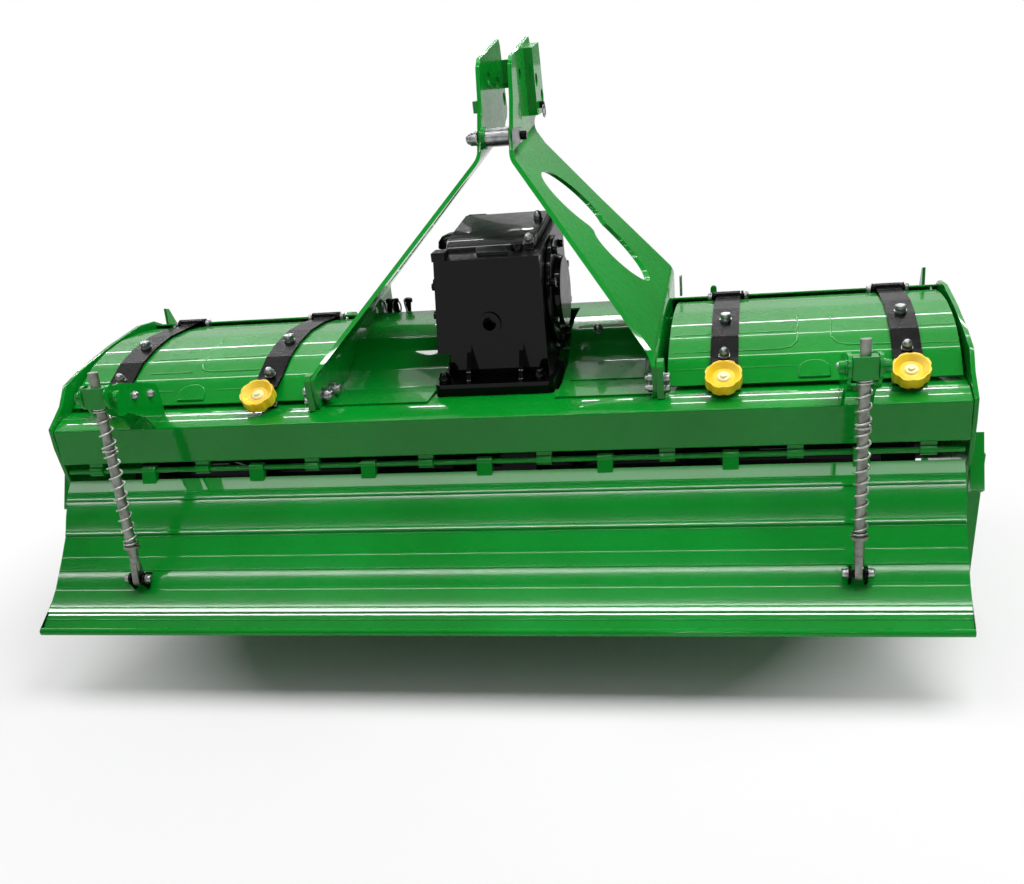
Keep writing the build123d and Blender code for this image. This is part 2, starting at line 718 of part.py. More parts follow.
for name, hand in SIDES:
    with BuildPart() as lid:
        with BuildSketch(side(hand * LID_INNER)):
            add(bent_sheet(LID_LINE, LID_SHEET))
        extrude(amount=hand * (LID_OUTER - LID_INNER))
    save(lid.part, f"lid_{name}")

    with BuildPart() as straps:
        for strap_x in STRAP_X:
            with BuildSketch(side(hand * strap_x - STRAP_WIDE / 2)):
                add(bent_sheet(STRAP_LINE, STRAP_THICK, Side.RIGHT))
                with Locations((HINGE_U, HINGE_Z)):
                    Circle(EYE_R)
                with BuildLine():
                    Polyline(*STRAP_NECK, close=True)
                make_face()
                with Locations((HINGE_U, HINGE_Z)):
                    Circle(HINGE_PIN_R + RUN, mode=Mode.SUBTRACT)
            extrude(amount=STRAP_WIDE)
            with BuildSketch(up_bolt(hand * strap_x, STRAP_LIFT - FORK_UNDER)):
                Rectangle(2 * STRAP_WIDE, FORK_LONG)
                Rectangle(2 * FORK_HALF, FORK_LONG, mode=Mode.SUBTRACT)
                Rectangle(2 * (STUD_R + STUD_GAP), FORK_LONG)
            extrude(amount=2 * STRAP_THICK, mode=Mode.SUBTRACT)
    save(straps.part, f"lid_straps_{name}")

    with BuildPart() as knobs:
        for strap_x in STRAP_X:
            with BuildSketch(up_bolt(hand * strap_x, STRAP_LIFT + STRAP_THICK)):
                Circle(KNOB_R)
                with PolarLocations(KNOB_R + LOBE_R - LOBE_DEEP, KNOB_LOBES):
                    Circle(LOBE_R, mode=Mode.SUBTRACT)
            extrude(amount=KNOB_HIGH)
            with BuildSketch(up_bolt(hand * strap_x, STRAP_LIFT + STRAP_THICK + KNOB_HIGH)):
                Circle(KNOB_R - 2 * LOBE_DEEP)
            extrude(amount=-KNOB_DISH, taper=DISH_TAPER, mode=Mode.SUBTRACT)
            with BuildSketch(up_bolt(hand * strap_x, STUD_FOOT)):
                Circle(STUD_R)
            extrude(amount=STRAP_LIFT + STRAP_THICK + KNOB_HIGH - KNOB_DISH - STUD_FOOT)
    save(knobs.part, f"knobs_{name}")

    with BuildPart() as hinges:
        for strap_x in STRAP_X:
            for ear_side in (-1, 1):
                ear_x = hand * strap_x + ear_side * (STRAP_WIDE / 2 + EAR_GAP)
                with BuildSketch(side(ear_x)):
                    with Locations((HINGE_U, HINGE_Z)):
                        Circle(EYE_R)
                    with BuildLine():
                        Polyline(*HINGE_EAR, close=True)
                    make_face()
                extrude(amount=ear_side * EAR)
            with BuildSketch(side(hand * strap_x - STRAP_WIDE / 2 - HINGE_PIN_OVER)):
                with Locations((HINGE_U, HINGE_Z)):
                    Circle(HINGE_PIN_R)
            extrude(amount=STRAP_WIDE + 2 * HINGE_PIN_OVER)
    save(hinges.part, f"lid_hinges_{name}")

    with BuildPart() as clamps:
        for strap_x in STRAP_X:
            for ear_side in (-1, 1):
                with BuildSketch(side(hand * strap_x + ear_side * CLAMP_EAR_X)):
                    with Locations((CLAMP_PIN[0], BEAM_TOP)):
                        Rectangle(CLAMP_EAR_LONG, CLAMP_EAR_HIGH, align=(Align.CENTER, Align.MIN))
                extrude(amount=ear_side * EAR)
            with BuildSketch(side(hand * strap_x - CLAMP_EAR_X - EAR - CLAMP_PIN_OVER)):
                with Locations(CLAMP_PIN):
                    Circle(CLAMP_PIN_R)
            extrude(amount=2 * (CLAMP_EAR_X + EAR + CLAMP_PIN_OVER))
    save(clamps.part, f"lid_clamps_{name}")

# ---- rear levelling board and its hinge ----
BOARD_HINGE = (BEAM_REAR + 8, BEAM_LOW - 17)
BOARD_HALF = HALF - 15
BOARD_LINE = [
    (-331, 352), (-352, 333), (-379, 296), (-400, 261), (-428, 232), (-476, 186), (-525, 152),
    (-552, 135),
]
HINGE_ROD_R = 5
KNUCKLE_R = 9
KNUCKLE_LONG = 28
KNUCKLE_STEP = (BOARD_HALF - 60) / 7
FIXED_KNUCKLES = [step * KNUCKLE_STEP for step in (-7, -5, -3, -1, 1, 3, 5, 7)]
BOARD_KNUCKLES = [step * KNUCKLE_STEP for step in (-6, -4, -2, 0, 2, 4, 6)]
KNUCKLE_LEAF = [(-322, 374), (-330, 370), (-338, 346), (-328, 346), (-316, 362)]
FIXED_LEAF_U = BOARD_HINGE[0] + 4
FIXED_LEAF_THICK = 10
LIP_R = 7

with BuildPart() as board:
    with BuildSketch(side(-BOARD_HALF)):
        add(bent_sheet(BOARD_LINE, BOARD_SHEET))
        with Locations(BOARD_LINE[-1]):
            Circle(LIP_R)
    extrude(amount=2 * BOARD_HALF)
    for knuckle_x in BOARD_KNUCKLES:
        with BuildSketch(side(knuckle_x - KNUCKLE_LONG / 2)):
            with BuildLine():
                Polyline(*KNUCKLE_LEAF, close=True)
            make_face()
            with Locations(BOARD_HINGE):
                Circle(KNUCKLE_R)
                Circle(HINGE_ROD_R + RUN, mode=Mode.SUBTRACT)
        extrude(amount=KNUCKLE_LONG)
save(board.part, "rear_board")

with BuildPart() as board_hinge:
    with BuildSketch(side(-BOARD_HALF)):
        with Locations(BOARD_HINGE):
            Circle(HINGE_ROD_R)
    extrude(amount=2 * BOARD_HALF)
    for knuckle_x in FIXED_KNUCKLES:
        with BuildSketch(side(knuckle_x - KNUCKLE_LONG / 2)):
            with Locations(BOARD_HINGE):
                Circle(KNUCKLE_R)
            with Locations((FIXED_LEAF_U, (BOARD_HINGE[1] + BEAM_LOW) / 2)):
                Rectangle(FIXED_LEAF_THICK, BEAM_LOW - BOARD_HINGE[1])
        extrude(amount=KNUCKLE_LONG)
save(board_hinge.part, "board_hinge")

# ---- spring rods, their swivels and brackets ----
ROD_X = HALF - 198
ROD_R = 9
SWIVEL = (-442, 553)
ROD_PIN = (-477, 208)
PIN_R = 6
PIN_HALF = 20
EYE_DRIFT = 2.5          # how much larger the rod's eye is than its pin
TRUNNION_R = 8
TRUNNION_OVER = 5       # trunnion past each cheek's outer face
SWIVEL_HALF = 20
SWIVEL_BLOCK = (34, 36)             # across and along the rod
CHEEK_GAP = 1
CHEEK = 6
ROD_START = 18          # plain rod above the lower pin
ROD_ABOVE = 44
ROD_EYE_R = 13
ROD_EYE_THICK = 12
ROD_EYE_NECK = [(-490, 208), (-464, 208), (-466, 240), (-483, 242)]
COLLAR_UP = 62          # collar above the lower pin
COLLAR_R = 15
COLLAR_THICK = 5
COIL_R = 13.5
COIL_INSIDE = 0.6       # gap of the spring around the rod
COIL_END = 0.1          # gap of the spring at each end
CLEVIS_X = 11           # inner faces of the clevis ears
CLEVIS_EAR = 5
CLEVIS_R = 12
CLEVIS_FOOT = [(-487, 202), (-468, 218), (-452, 209), (-476, 186)]

rod_rise = Vector(0, SWIVEL[0] - ROD_PIN[0], SWIVEL[1] - ROD_PIN[1]).normalized()
rod_length = math.dist(SWIVEL, ROD_PIN)


def along_rod(x, distance):
    """Plane square to the rod, this far up from its lower pin."""
    foot = Vector(x, ROTOR_Y + ROD_PIN[0], ROD_PIN[1])
    return Plane(origin=foot + rod_rise * distance, x_dir=(1, 0, 0), z_dir=rod_rise)


BRACKET_FRONT = -280
BOSS_R = 21             # cheek around the trunnion, and its larger round end below it
CHEEK_END = (-414, 539)
CHEEK_END_R = 29
CHEEK_LINE = [
    (-451, 572), (-406, 567), (-345, 549), (-292, 532), (-282, 520), (BRACKET_FRONT, BEAM_TOP),
    (BEAM_BREAK, BEAM_TOP), (-327, beam_top(-327)), (-352, 484), (-404, 512), (-458, 540),
]
WEB_HIGH = 10           # web between the cheeks, on the beam

for name, hand in SIDES:
    with BuildPart() as bracket:
        for cheek_side in (-1, 1):
            cheek_x = hand * ROD_X + cheek_side * (SWIVEL_HALF + CHEEK_GAP)
            with BuildSketch(side(cheek_x)):
                with Locations(SWIVEL):
                    Circle(BOSS_R)
                with Locations(CHEEK_END):
                    Circle(CHEEK_END_R)
                with BuildLine():
                    Polyline(*CHEEK_LINE, close=True)
                make_face()
                with Locations(SWIVEL):
                    Circle(TRUNNION_R + RUN, mode=Mode.SUBTRACT)
            extrude(amount=cheek_side * CHEEK)
        with BuildSketch(side(hand * ROD_X)):
            with Locations((BEAM_BREAK, BEAM_TOP)):
                Rectangle(BRACKET_FRONT - BEAM_BREAK, WEB_HIGH, align=Align.MIN)
        extrude(amount=SWIVEL_HALF + CHEEK_GAP, both=True)
    save(bracket.part, f"rod_bracket_{name}")

    with BuildPart() as swivel:
        with BuildSketch(along_rod(hand * ROD_X, rod_length - SWIVEL_BLOCK[1] / 2)):
            Rectangle(2 * SWIVEL_HALF, SWIVEL_BLOCK[0])
            Circle(ROD_R + RUN, mode=Mode.SUBTRACT)
        extrude(amount=SWIVEL_BLOCK[1])
        for trunnion_side in (-1, 1):
            with BuildSketch(side(hand * ROD_X + trunnion_side * SWIVEL_HALF)):
                with Locations(SWIVEL):
                    Circle(TRUNNION_R)
            extrude(amount=trunnion_side * (CHEEK_GAP + CHEEK + TRUNNION_OVER))
    save(swivel.part, f"rod_swivel_{name}")

    with BuildPart() as rod:
        with BuildSketch(along_rod(hand * ROD_X, ROD_START)):
            Circle(ROD_R)
        extrude(amount=rod_length + ROD_ABOVE - ROD_START)
        with BuildSketch(side(hand * ROD_X - ROD_EYE_THICK / 2)):
            with Locations(ROD_PIN):
                Circle(ROD_EYE_R)
            with BuildLine():
                Polyline(*ROD_EYE_NECK, close=True)
            make_face()
            with Locations(ROD_PIN):
                Circle(PIN_R + EYE_DRIFT, mode=Mode.SUBTRACT)
        extrude(amount=ROD_EYE_THICK)
        with BuildSketch(along_rod(hand * ROD_X, COLLAR_UP)):
            Circle(COLLAR_R)
        extrude(amount=COLLAR_THICK)
    save(rod.part, f"spring_rod_{name}")

    with BuildPart() as spring:
        with BuildSketch(along_rod(hand * ROD_X, COLLAR_UP + COLLAR_THICK + COIL_END)):
            Circle(COIL_R)
            Circle(ROD_R + COIL_INSIDE, mode=Mode.SUBTRACT)
        extrude(amount=rod_length - SWIVEL_BLOCK[1] / 2 - COLLAR_UP - COLLAR_THICK - 2 * COIL_END)
    save(spring.part, f"rod_spring_{name}")

    with BuildPart() as clevis:
        for ear_side in (-1, 1):
            with BuildSketch(side(hand * ROD_X + ear_side * CLEVIS_X)):
                with Locations(ROD_PIN):
                    Circle(CLEVIS_R)
                with BuildLine():
                    Polyline(*CLEVIS_FOOT, close=True)
                make_face()
            extrude(amount=ear_side * CLEVIS_EAR)
        with BuildSketch(side(hand * ROD_X)):
            with Locations(ROD_PIN):
                Circle(PIN_R)
        extrude(amount=PIN_HALF, both=True)
    save(clevis.part, f"rod_clevis_{name}")
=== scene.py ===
import json
import math

import bmesh
import bpy
from mathutils import Matrix, Vector
from mathutils.bvhtree import BVHTree


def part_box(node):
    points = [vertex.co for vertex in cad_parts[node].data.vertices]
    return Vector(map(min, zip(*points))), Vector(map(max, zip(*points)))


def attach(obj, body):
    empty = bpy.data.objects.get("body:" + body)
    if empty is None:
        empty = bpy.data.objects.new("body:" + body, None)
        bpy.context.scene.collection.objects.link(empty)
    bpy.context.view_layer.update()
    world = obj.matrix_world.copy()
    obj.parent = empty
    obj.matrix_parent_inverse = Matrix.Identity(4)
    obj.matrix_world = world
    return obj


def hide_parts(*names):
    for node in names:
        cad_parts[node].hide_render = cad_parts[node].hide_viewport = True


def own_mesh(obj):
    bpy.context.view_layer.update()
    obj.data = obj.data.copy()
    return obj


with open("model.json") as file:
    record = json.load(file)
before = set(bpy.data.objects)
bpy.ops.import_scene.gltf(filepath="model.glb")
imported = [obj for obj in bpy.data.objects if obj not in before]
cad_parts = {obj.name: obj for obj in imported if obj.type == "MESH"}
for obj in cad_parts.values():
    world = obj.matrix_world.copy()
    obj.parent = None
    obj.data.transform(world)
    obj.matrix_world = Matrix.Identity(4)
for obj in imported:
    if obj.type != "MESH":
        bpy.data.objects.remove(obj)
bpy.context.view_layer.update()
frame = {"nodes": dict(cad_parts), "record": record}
nodes = frame["nodes"]

# A place across the machine is x, a height is z, and a fore-and-aft place is u, from the rotor axis.
# All are in metres, but for what is said to be in mm.
ROTOR_Y = sum(corner.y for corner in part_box("rotor_shaft")) / 2
MM = 0.001
SIDES = (("left", -1), ("right", 1))
SLOT = {row["node"]: row["material_slot"] for row in frame["record"]["subparts"]}
BODY = {node: body for body, members in frame["record"]["behaviour"]["bodies"].items()
        for node in members}


def at(x, u, z):
    """A point from its place across, along and up the machine."""
    return Vector((x, ROTOR_Y + u, z))


def mm(x, u, z):
    """The same, from a place in mm."""
    return at(x * MM, u * MM, z * MM)


# ---- materials ----
def linear(hex_colour):
    """An sRGB hex colour as linear red, green, blue and alpha."""
    def channel(value):
        return value / 12.92 if value <= 0.04045 else ((value + 0.055) / 1.055) ** 2.4
    parts = [int(hex_colour[i:i + 2], 16) / 255 for i in (1, 3, 5)]
    return (*[channel(part) for part in parts], 1.0)


def add(tree, kind, inputs=None, **settings):
    """Adds a shader node. An input is a value, or an output socket to link from."""
    made = tree.nodes.new(kind)
    for name, value in settings.items():
        setattr(made, name, value)
    for name, value in (inputs or {}).items():
        if isinstance(value, bpy.types.NodeSocket):
            tree.links.new(value, made.inputs[name])
        else:
            made.inputs[name].default_value = value
    return made


def new_material(name):
    """An empty material's tree and its Object coordinates."""
    material = bpy.data.materials.new(name)
    material.use_nodes = True
    tree = material.node_tree
    tree.nodes.clear()
    return material, tree, add(tree, "ShaderNodeTexCoord").outputs["Object"]


def ramp(tree, factor, stops):
    """A colour ramp over a factor, from (place, colour) stops."""
    made = add(tree, "ShaderNodeValToRGB", {"Fac": factor})
    elements = made.color_ramp.elements
    while len(elements) < len(stops):
        elements.new(0.5)
    for element, (place, colour) in zip(elements, stops):
        element.position = place
        element.color = colour
    return made.outputs["Color"]


def grey(value):
    """A grey as red, green, blue and alpha."""
    return (value, value, value, 1.0)


def enamel(name, colour, dusty, deep, roughness, peel, coat):
    """Sprayed and baked enamel on steel sheet: even colour, a hard clear gloss and faint orange peel."""
    material, tree, place = new_material(name)
    cloud = add(tree, "ShaderNodeTexNoise", {"Vector": place, "Scale": 3.0, "Detail": 4.0})
    fine = add(tree, "ShaderNodeTexNoise", {"Vector": place, "Scale": 45.0, "Detail": 3.0})
    tone = ramp(tree, cloud.outputs["Fac"], [
        (0.3, linear(deep)), (0.5, linear(colour)), (0.72, linear(dusty))])
    dull = add(tree, "ShaderNodeMapRange", {
        "Value": fine.outputs["Fac"], "From Min": 0.3, "From Max": 0.7,
        "To Min": roughness, "To Max": roughness + 0.1})
    # orange peel, 2 to 3 mm from crest to crest
    ripple = add(tree, "ShaderNodeTexNoise", {"Vector": place, "Scale": 380.0, "Detail": 1.0})
    # the sheet's own slight waviness, about 200 mm from crest to crest
    wave = add(tree, "ShaderNodeTexNoise", {"Vector": place, "Scale": 5.0, "Detail": 0.0})
    low = add(tree, "ShaderNodeBump", {"Height": wave.outputs["Fac"], "Strength": 0.25, "Distance": 0.006})
    bump = add(tree, "ShaderNodeBump", {
        "Height": ripple.outputs["Fac"], "Strength": peel, "Distance": 0.0003,
        "Normal": low.outputs["Normal"]})
    surface = add(tree, "ShaderNodeBsdfPrincipled", {
        "Base Color": tone, "Roughness": dull.outputs["Result"], "Normal": bump.outputs["Normal"],
        "IOR": 1.5, "Specular IOR Level": 0.04, "Coat Weight": coat, "Coat Roughness": 0.04})
    add(tree, "ShaderNodeOutputMaterial", {"Surface": surface.outputs["BSDF"]})
    return material


def zinc_plate(name, light, dark, roughness):
    """Bare or zinc-plated steel: a grey metal, clouded, with a very fine grain."""
    material, tree, place = new_material(name)
    cloud = add(tree, "ShaderNodeTexNoise", {"Vector": place, "Scale": 60.0, "Detail": 4.0})
    tone = ramp(tree, cloud.outputs["Fac"], [(0.35, linear(dark)), (0.65, linear(light))])
    dull = add(tree, "ShaderNodeMapRange", {
        "Value": cloud.outputs["Fac"], "To Min": roughness - 0.08, "To Max": roughness + 0.12})
    grain = add(tree, "ShaderNodeTexNoise", {"Vector": place, "Scale": 900.0, "Detail": 2.0})
    bump = add(tree, "ShaderNodeBump", {
        "Height": grain.outputs["Fac"], "Strength": 0.25, "Distance": 0.0003})
    surface = add(tree, "ShaderNodeBsdfPrincipled", {
        "Base Color": tone, "Metallic": 1.0, "Roughness": dull.outputs["Result"],
        "Normal": bump.outputs["Normal"]})
    add(tree, "ShaderNodeOutputMaterial", {"Surface": surface.outputs["BSDF"]})
    return material


def moulded_nylon(name, colour, pale):
    """Injection-moulded nylon: even strong colour, satin skin with a very fine moulded texture."""
    material, tree, place = new_material(name)
    cloud = add(tree, "ShaderNodeTexNoise", {"Vector": place, "Scale": 40.0, "Detail": 3.0})
    tone = ramp(tree, cloud.outputs["Fac"], [(0.35, linear(colour)), (0.75, linear(pale))])
    skin = add(tree, "ShaderNodeTexNoise", {"Vector": place, "Scale": 700.0, "Detail": 2.0})
    bump = add(tree, "ShaderNodeBump", {"Height": skin.outputs["Fac"], "Strength": 0.2, "Distance": 0.0003})
    surface = add(tree, "ShaderNodeBsdfPrincipled", {
        "Base Color": tone, "Roughness": 0.32, "IOR": 1.53, "Normal": bump.outputs["Normal"]})
    add(tree, "ShaderNodeOutputMaterial", {"Surface": surface.outputs["BSDF"]})
    return material


FINISH = {
    "green_enamel": enamel("gloss_green_enamel", "#048A26", "#08942F", "#037D20", 0.24, 0.08, 0.52),
    "black_enamel": enamel("gloss_black_enamel", "#030303", "#060606", "#020202", 0.2, 0.1, 0.13),
    "rotor_paint": enamel("dip_black_paint", "#101011", "#1B1A19", "#0A0A0A", 0.4, 0.6, 0.15),
    "zinc": zinc_plate("bright_zinc_plate", "#B9BABB", "#8E8F90", 0.34),
    "cast_black_enamel": enamel("cast_black_enamel", "#030303", "#070708", "#020202", 0.3, 0.8, 0.3),
    "spring_wire": zinc_plate("drawn_spring_wire", "#DADBD6", "#A9AAA4", 0.35),
    "rolled_rod": zinc_plate("rolled_steel_rod", "#A9ABA3", "#7B7E76", 0.55),
    "pale_nylon": moulded_nylon("moulded_pale_nylon", "#F2E6A8", "#FBF3C8"),
    "yellow_plastic": moulded_nylon("moulded_yellow_nylon", "#F4C40C", "#FFDA3A"),
}
for node, finish in SLOT.items():
    nodes[node].data.materials.clear()
    nodes[node].data.materials.append(FINISH["rolled_rod" if "spring_rod" in node else finish])


# ---- how pieces are made ----
SHARP = math.radians(50)        # an edge that turns further than this stays sharp
CORNER = math.radians(35)       # an edge of a CAD node that turns further than this is rounded off
FLAT = math.radians(0.5)        # faces that turn less than this from each other are one face
FOLD_TURN = (math.radians(2), math.radians(62))     # a fold of a sheet turns between these
FOLD_LONG = 0.04                # and it runs further than this across the machine
MERGE = 0.01                    # vertices nearer than this are one, mm


def stand(place, up, ahead=(0, 1, 0)):
    """A matrix that stands a shape at a place, with its z along up and its y nearly ahead."""
    up = Vector(up).normalized()
    across = Vector(ahead).cross(up)
    if across.length < 0.1:
        across = Vector((0, 0, 1)).cross(up)
    across.normalize()
    matrix = Matrix((across, up.cross(across), up)).transposed().to_4x4()
    matrix.translation = place
    return matrix


def edges_at(verts):
    """The edges at some vertices, each once and always in the same order."""
    return list(dict.fromkeys(edge for vert in verts for edge in vert.link_edges))


def ring(made, where, radius, sides, filled=False):
    """Adds a circle and gives its edges; radius in mm."""
    circle = bmesh.ops.create_circle(
        made, radius=radius * MM, segments=sides, cap_ends=filled, matrix=where)
    return edges_at(circle["verts"])


def bridge(made, rings):
    """Joins each ring of edges to the next one."""
    for low, high in zip(rings, rings[1:]):
        bmesh.ops.bridge_loops(made, edges=low + high)


def lifted(where, height):
    """A matrix moved up its own z; height in mm."""
    return where @ Matrix.Translation((0, 0, height * MM))


def turned(made, where, steps, sides=24):
    """Adds a turned or many-sided form, closed at both ends, from (height, radius) steps in mm."""
    ends = (0, len(steps) - 1)
    bridge(made, [ring(made, lifted(where, height), radius, sides, number in ends)
                  for number, (height, radius) in enumerate(steps)])


def swept(made, points, radii, ahead=(1, 0, 0), sides=8):
    """Adds a round bar along points, closed at both ends; radii in mm, one for each point."""
    last = len(points) - 1
    rings = []
    for number, (point, radius) in enumerate(zip(points, radii)):
        run = points[min(number + 1, last)] - points[max(number - 1, 0)]
        rings.append(ring(made, stand(point, run, ahead), radius, sides, number in (0, last)))
    bridge(made, rings)


def ease(made, edges, width, segments, clamp=False):
    """Rounds edges off; width in mm."""
    bmesh.ops.bevel(made, geom=edges, offset=width * MM, offset_type="OFFSET", segments=segments,
                    profile=0.5, affect="EDGES", material=-1, clamp_overlap=clamp)


def slab(made, outline, depth, corner):
    """Adds a plate: its outline's points, pushed along depth, with its edges eased; corner in mm."""
    face = made.faces.new([made.verts.new(point) for point in outline])
    pushed = bmesh.ops.extrude_face_region(made, geom=[face])
    verts = [item for item in pushed["geom"] if isinstance(item, bmesh.types.BMVert)]
    bmesh.ops.translate(made, verts=verts, vec=depth)
    ease(made, edges_at(verts), corner, segments=3)


def piece(made, name, body, finish):
    """A finished piece: its mesh shaded smooth but for sharp edges, with its finish and its body."""
    for face in made.faces:
        face.smooth = True
    for edge in made.edges:
        edge.smooth = edge.calc_face_angle(0) < SHARP
    mesh = bpy.data.meshes.new(name)
    made.to_mesh(mesh)
    made.free()
    mesh.materials.append(FINISH[finish])
    shape = bpy.data.objects.new(name, mesh)
    bpy.context.scene.collection.objects.link(shape)
    even = shape.modifiers.new("even_shading", "WEIGHTED_NORMAL")
    even.keep_sharp = True
    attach(shape, body)
    return shape


def new_piece(made, name, body, finish):
    """A piece of new shapes, whose faces are turned outwards first."""
    bmesh.ops.recalc_face_normals(made, faces=made.faces)
    return piece(made, name, body, finish)


def cad_mesh(node):
    """A copy of a CAD node's mesh, its triangles merged to whole faces."""
    made = bmesh.new()
    made.from_mesh(nodes[node].data)
    bmesh.ops.remove_doubles(made, verts=made.verts, dist=MERGE * MM)
    bmesh.ops.dissolve_limit(made, angle_limit=FLAT, verts=made.verts, edges=made.edges)
    return made


def formed(node, corner, bend=0.0, segments=2, finish=None):
    """A CAD node with its corners eased and the bends of its sheet given their radius, in mm."""
    made = cad_mesh(node)
    if bend:
        folds = [edge for edge in made.edges
                 if FOLD_TURN[0] < edge.calc_face_angle(0) < FOLD_TURN[1]
                 and abs(edge.verts[0].co.x - edge.verts[1].co.x) > FOLD_LONG]
        ease(made, folds, bend, segments=4)
    corners = [edge for edge in made.edges if edge.calc_face_angle(0) > CORNER]
    ease(made, corners, corner, segments, clamp=True)
    shape = piece(made, node + "_formed", BODY[node], finish or SLOT[node])
    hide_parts(node)
    return shape


TREES = {}
ABOVE = 2000                    # higher than the whole machine, mm
LAP = 1                         # how far a laid or pressed piece reaches into its sheet, mm


def meet(node, start, heading):
    """Where a line from a point meets a CAD node, and the way its surface faces there."""
    if node not in TREES:
        made = cad_mesh(node)
        TREES[node] = BVHTree.FromBMesh(made)
        made.free()
    place, facing, _, _ = TREES[node].ray_cast(start, Vector(heading))
    return place, facing


def seat(node, x, u):
    """Where a line straight down at x and u, in mm, meets a CAD node, and the way its surface faces."""
    return meet(node, mm(x, u, ABOVE), (0, 0, -1))


# ---- fasteners ----
SUNK = 0.5                      # how far a head and its washer reach into what they are on, mm
ROOT = 0.6                      # how far a dome or a stud reaches into its head, mm
# shares of the width across flats
WASHER_HIGH = 0.12
WASHER_R = 0.62
HEAD_HIGH = 0.52
HEAD_R = 0.577
CLIP_STEPS = 20
WELD_STEP = 6.0                 # a weld's ripples, mm


def bolt(made, place, axis, across, dome=False, washer=True, stud=0.0):
    """Adds a hexagon bolt head or nut with its washer; across flats and stud length in mm."""
    where = stand(place, axis)
    foot = WASHER_HIGH * across if washer else 0
    if washer:
        turned(made, where, [(-SUNK, WASHER_R * across), (foot, WASHER_R * across)])
    high = foot + HEAD_HIGH * across
    point = HEAD_R * across
    turned(made, where, [(-SUNK, 0.9 * point), (foot, 0.9 * point), (foot + 0.06 * across, point),
                         (high - 0.1 * across, point), (high, 0.86 * point)], sides=6)
    if dome:
        turned(made, where, [(high - ROOT, 0.45 * across), (high + 0.12 * across, 0.43 * across),
                             (high + 0.28 * across, 0.32 * across), (high + 0.36 * across, 0.14 * across)])
    if stud:
        turned(made, where, [(high - ROOT, 0.3 * across), (high + stud - 1, 0.3 * across),
                             (high + stud, 0.24 * across)], sides=16)


def bolt_down(made, node, x, u, across, dome=False):
    """Adds a bolt that stands on a CAD node's upper side at x and u; all in mm."""
    place, facing = seat(node, x, u)
    bolt(made, place, facing, across, dome=dome)


def bolt_across(made, node, start, heading, across, **form):
    """Adds a bolt where a line across the machine, heading 1 or -1, meets a CAD node's near side."""
    place, _ = meet(node, start, (heading, 0, 0))
    bolt(made, place, (-heading, 0, 0), across, **form)


def ring_plate(made, where, inner, outer, high, eased=0.6):
    """Adds a ring with a hole through it, its outer edge eased; all in mm."""
    rings = [ring(made, lifted(where, height), radius, sides=24)
             for radius, height in ((outer, 0), (outer, high - eased), (outer - eased, high),
                                    (inner, high), (inner, 0))]
    bridge(made, rings + rings[:1])


def clip(made, where, radius, wire):
    """Adds a closed ring of wire; both radii in mm."""
    hoop = [where @ Vector((radius * MM * math.cos(turn), radius * MM * math.sin(turn), 0))
            for turn in [math.tau * step / CLIP_STEPS for step in range(CLIP_STEPS)]]
    flat = where.to_3x3() @ Vector((0, 0, 1))
    rings = []
    for number, point in enumerate(hoop):
        run = hoop[(number + 1) % CLIP_STEPS] - hoop[number - 1]
        rings.append(ring(made, stand(point, run, flat), wire, sides=6))
    bridge(made, rings + rings[:1])


def weld(made, start, end, radius=3.0):
    """Adds a rippled weld bead from one point to another; radius in mm."""
    count = max(3, round((end - start).length / (WELD_STEP * MM)))
    points = [start.lerp(end, number / count) for number in range(count + 1)]
    radii = [radius * (1.0 if number % 2 else 0.86) for number in range(count + 1)]
    radii[0] = radii[-1] = 0.5 * radius
    swept(made, points, radii, ahead=(0.3, 0.2, 1))


# ---- sheet metal, plates and castings, with their edges eased ----
# node: corner, bend, both in mm
SHEET = {
    "rear_board": (0.8, 3.5), "lid_left": (0.8, 12), "lid_right": (0.8, 12),
    "centre_hood": (0.8, 5), "front_shield": (0.8, 6),
    "lid_straps_left": (0.8, 6), "lid_straps_right": (0.8, 6),
}
# node: corner in mm
PLATE = {
    "rear_beam": 4.0, "mast_left": 1.2, "mast_right": 1.2, "end_plate_left": 1.2,
    "end_plate_right": 1.2, "skid_left": 1.2, "skid_right": 1.2, "hitch_bracket_left": 1.5,
    "hitch_bracket_right": 1.5, "rod_bracket_left": 1.0, "rod_bracket_right": 1.0,
    "rod_swivel_left": 2.0, "rod_swivel_right": 2.0,
    "bearing_left": 1.5, "bearing_right": 1.5, "drive_case": 3.0, "pto_guard": 0.8,
}
LARGE = 1.5                     # a corner over this is rounded in three steps, not two; mm
CASTING = {
    "gearbox": 3.5, "gearbox_cover_left": 2.5, "gearbox_cover_right": 2.5, "gearbox_top_cover": 4.0,
}
for node, (corner, bend) in SHEET.items():
    formed(node, corner, bend)
for node, corner in PLATE.items():
    formed(node, corner, segments=3 if corner > LARGE else 2)
for node, corner in CASTING.items():
    formed(node, corner, segments=3, finish="cast_black_enamel")

# ---- coil springs around the two rods ----
COIL_STEPS = 16
COIL_R = 12.2                   # to the middle of the wire, mm
WIRE = 3.6                      # spring wire across, mm
# turns and pitch in mm, from the foot up
COIL_RUNS = ((1.5, 3.8), (8.5, 18.5), (1.6, 5.5), (3.0, 20.5), (1.3, 3.8))
SLEEVE_END = 0.012              # the points of a sleeve's end lie within this height


def mean(points):
    """The middle of some points."""
    return sum(points, Vector()) / len(points)


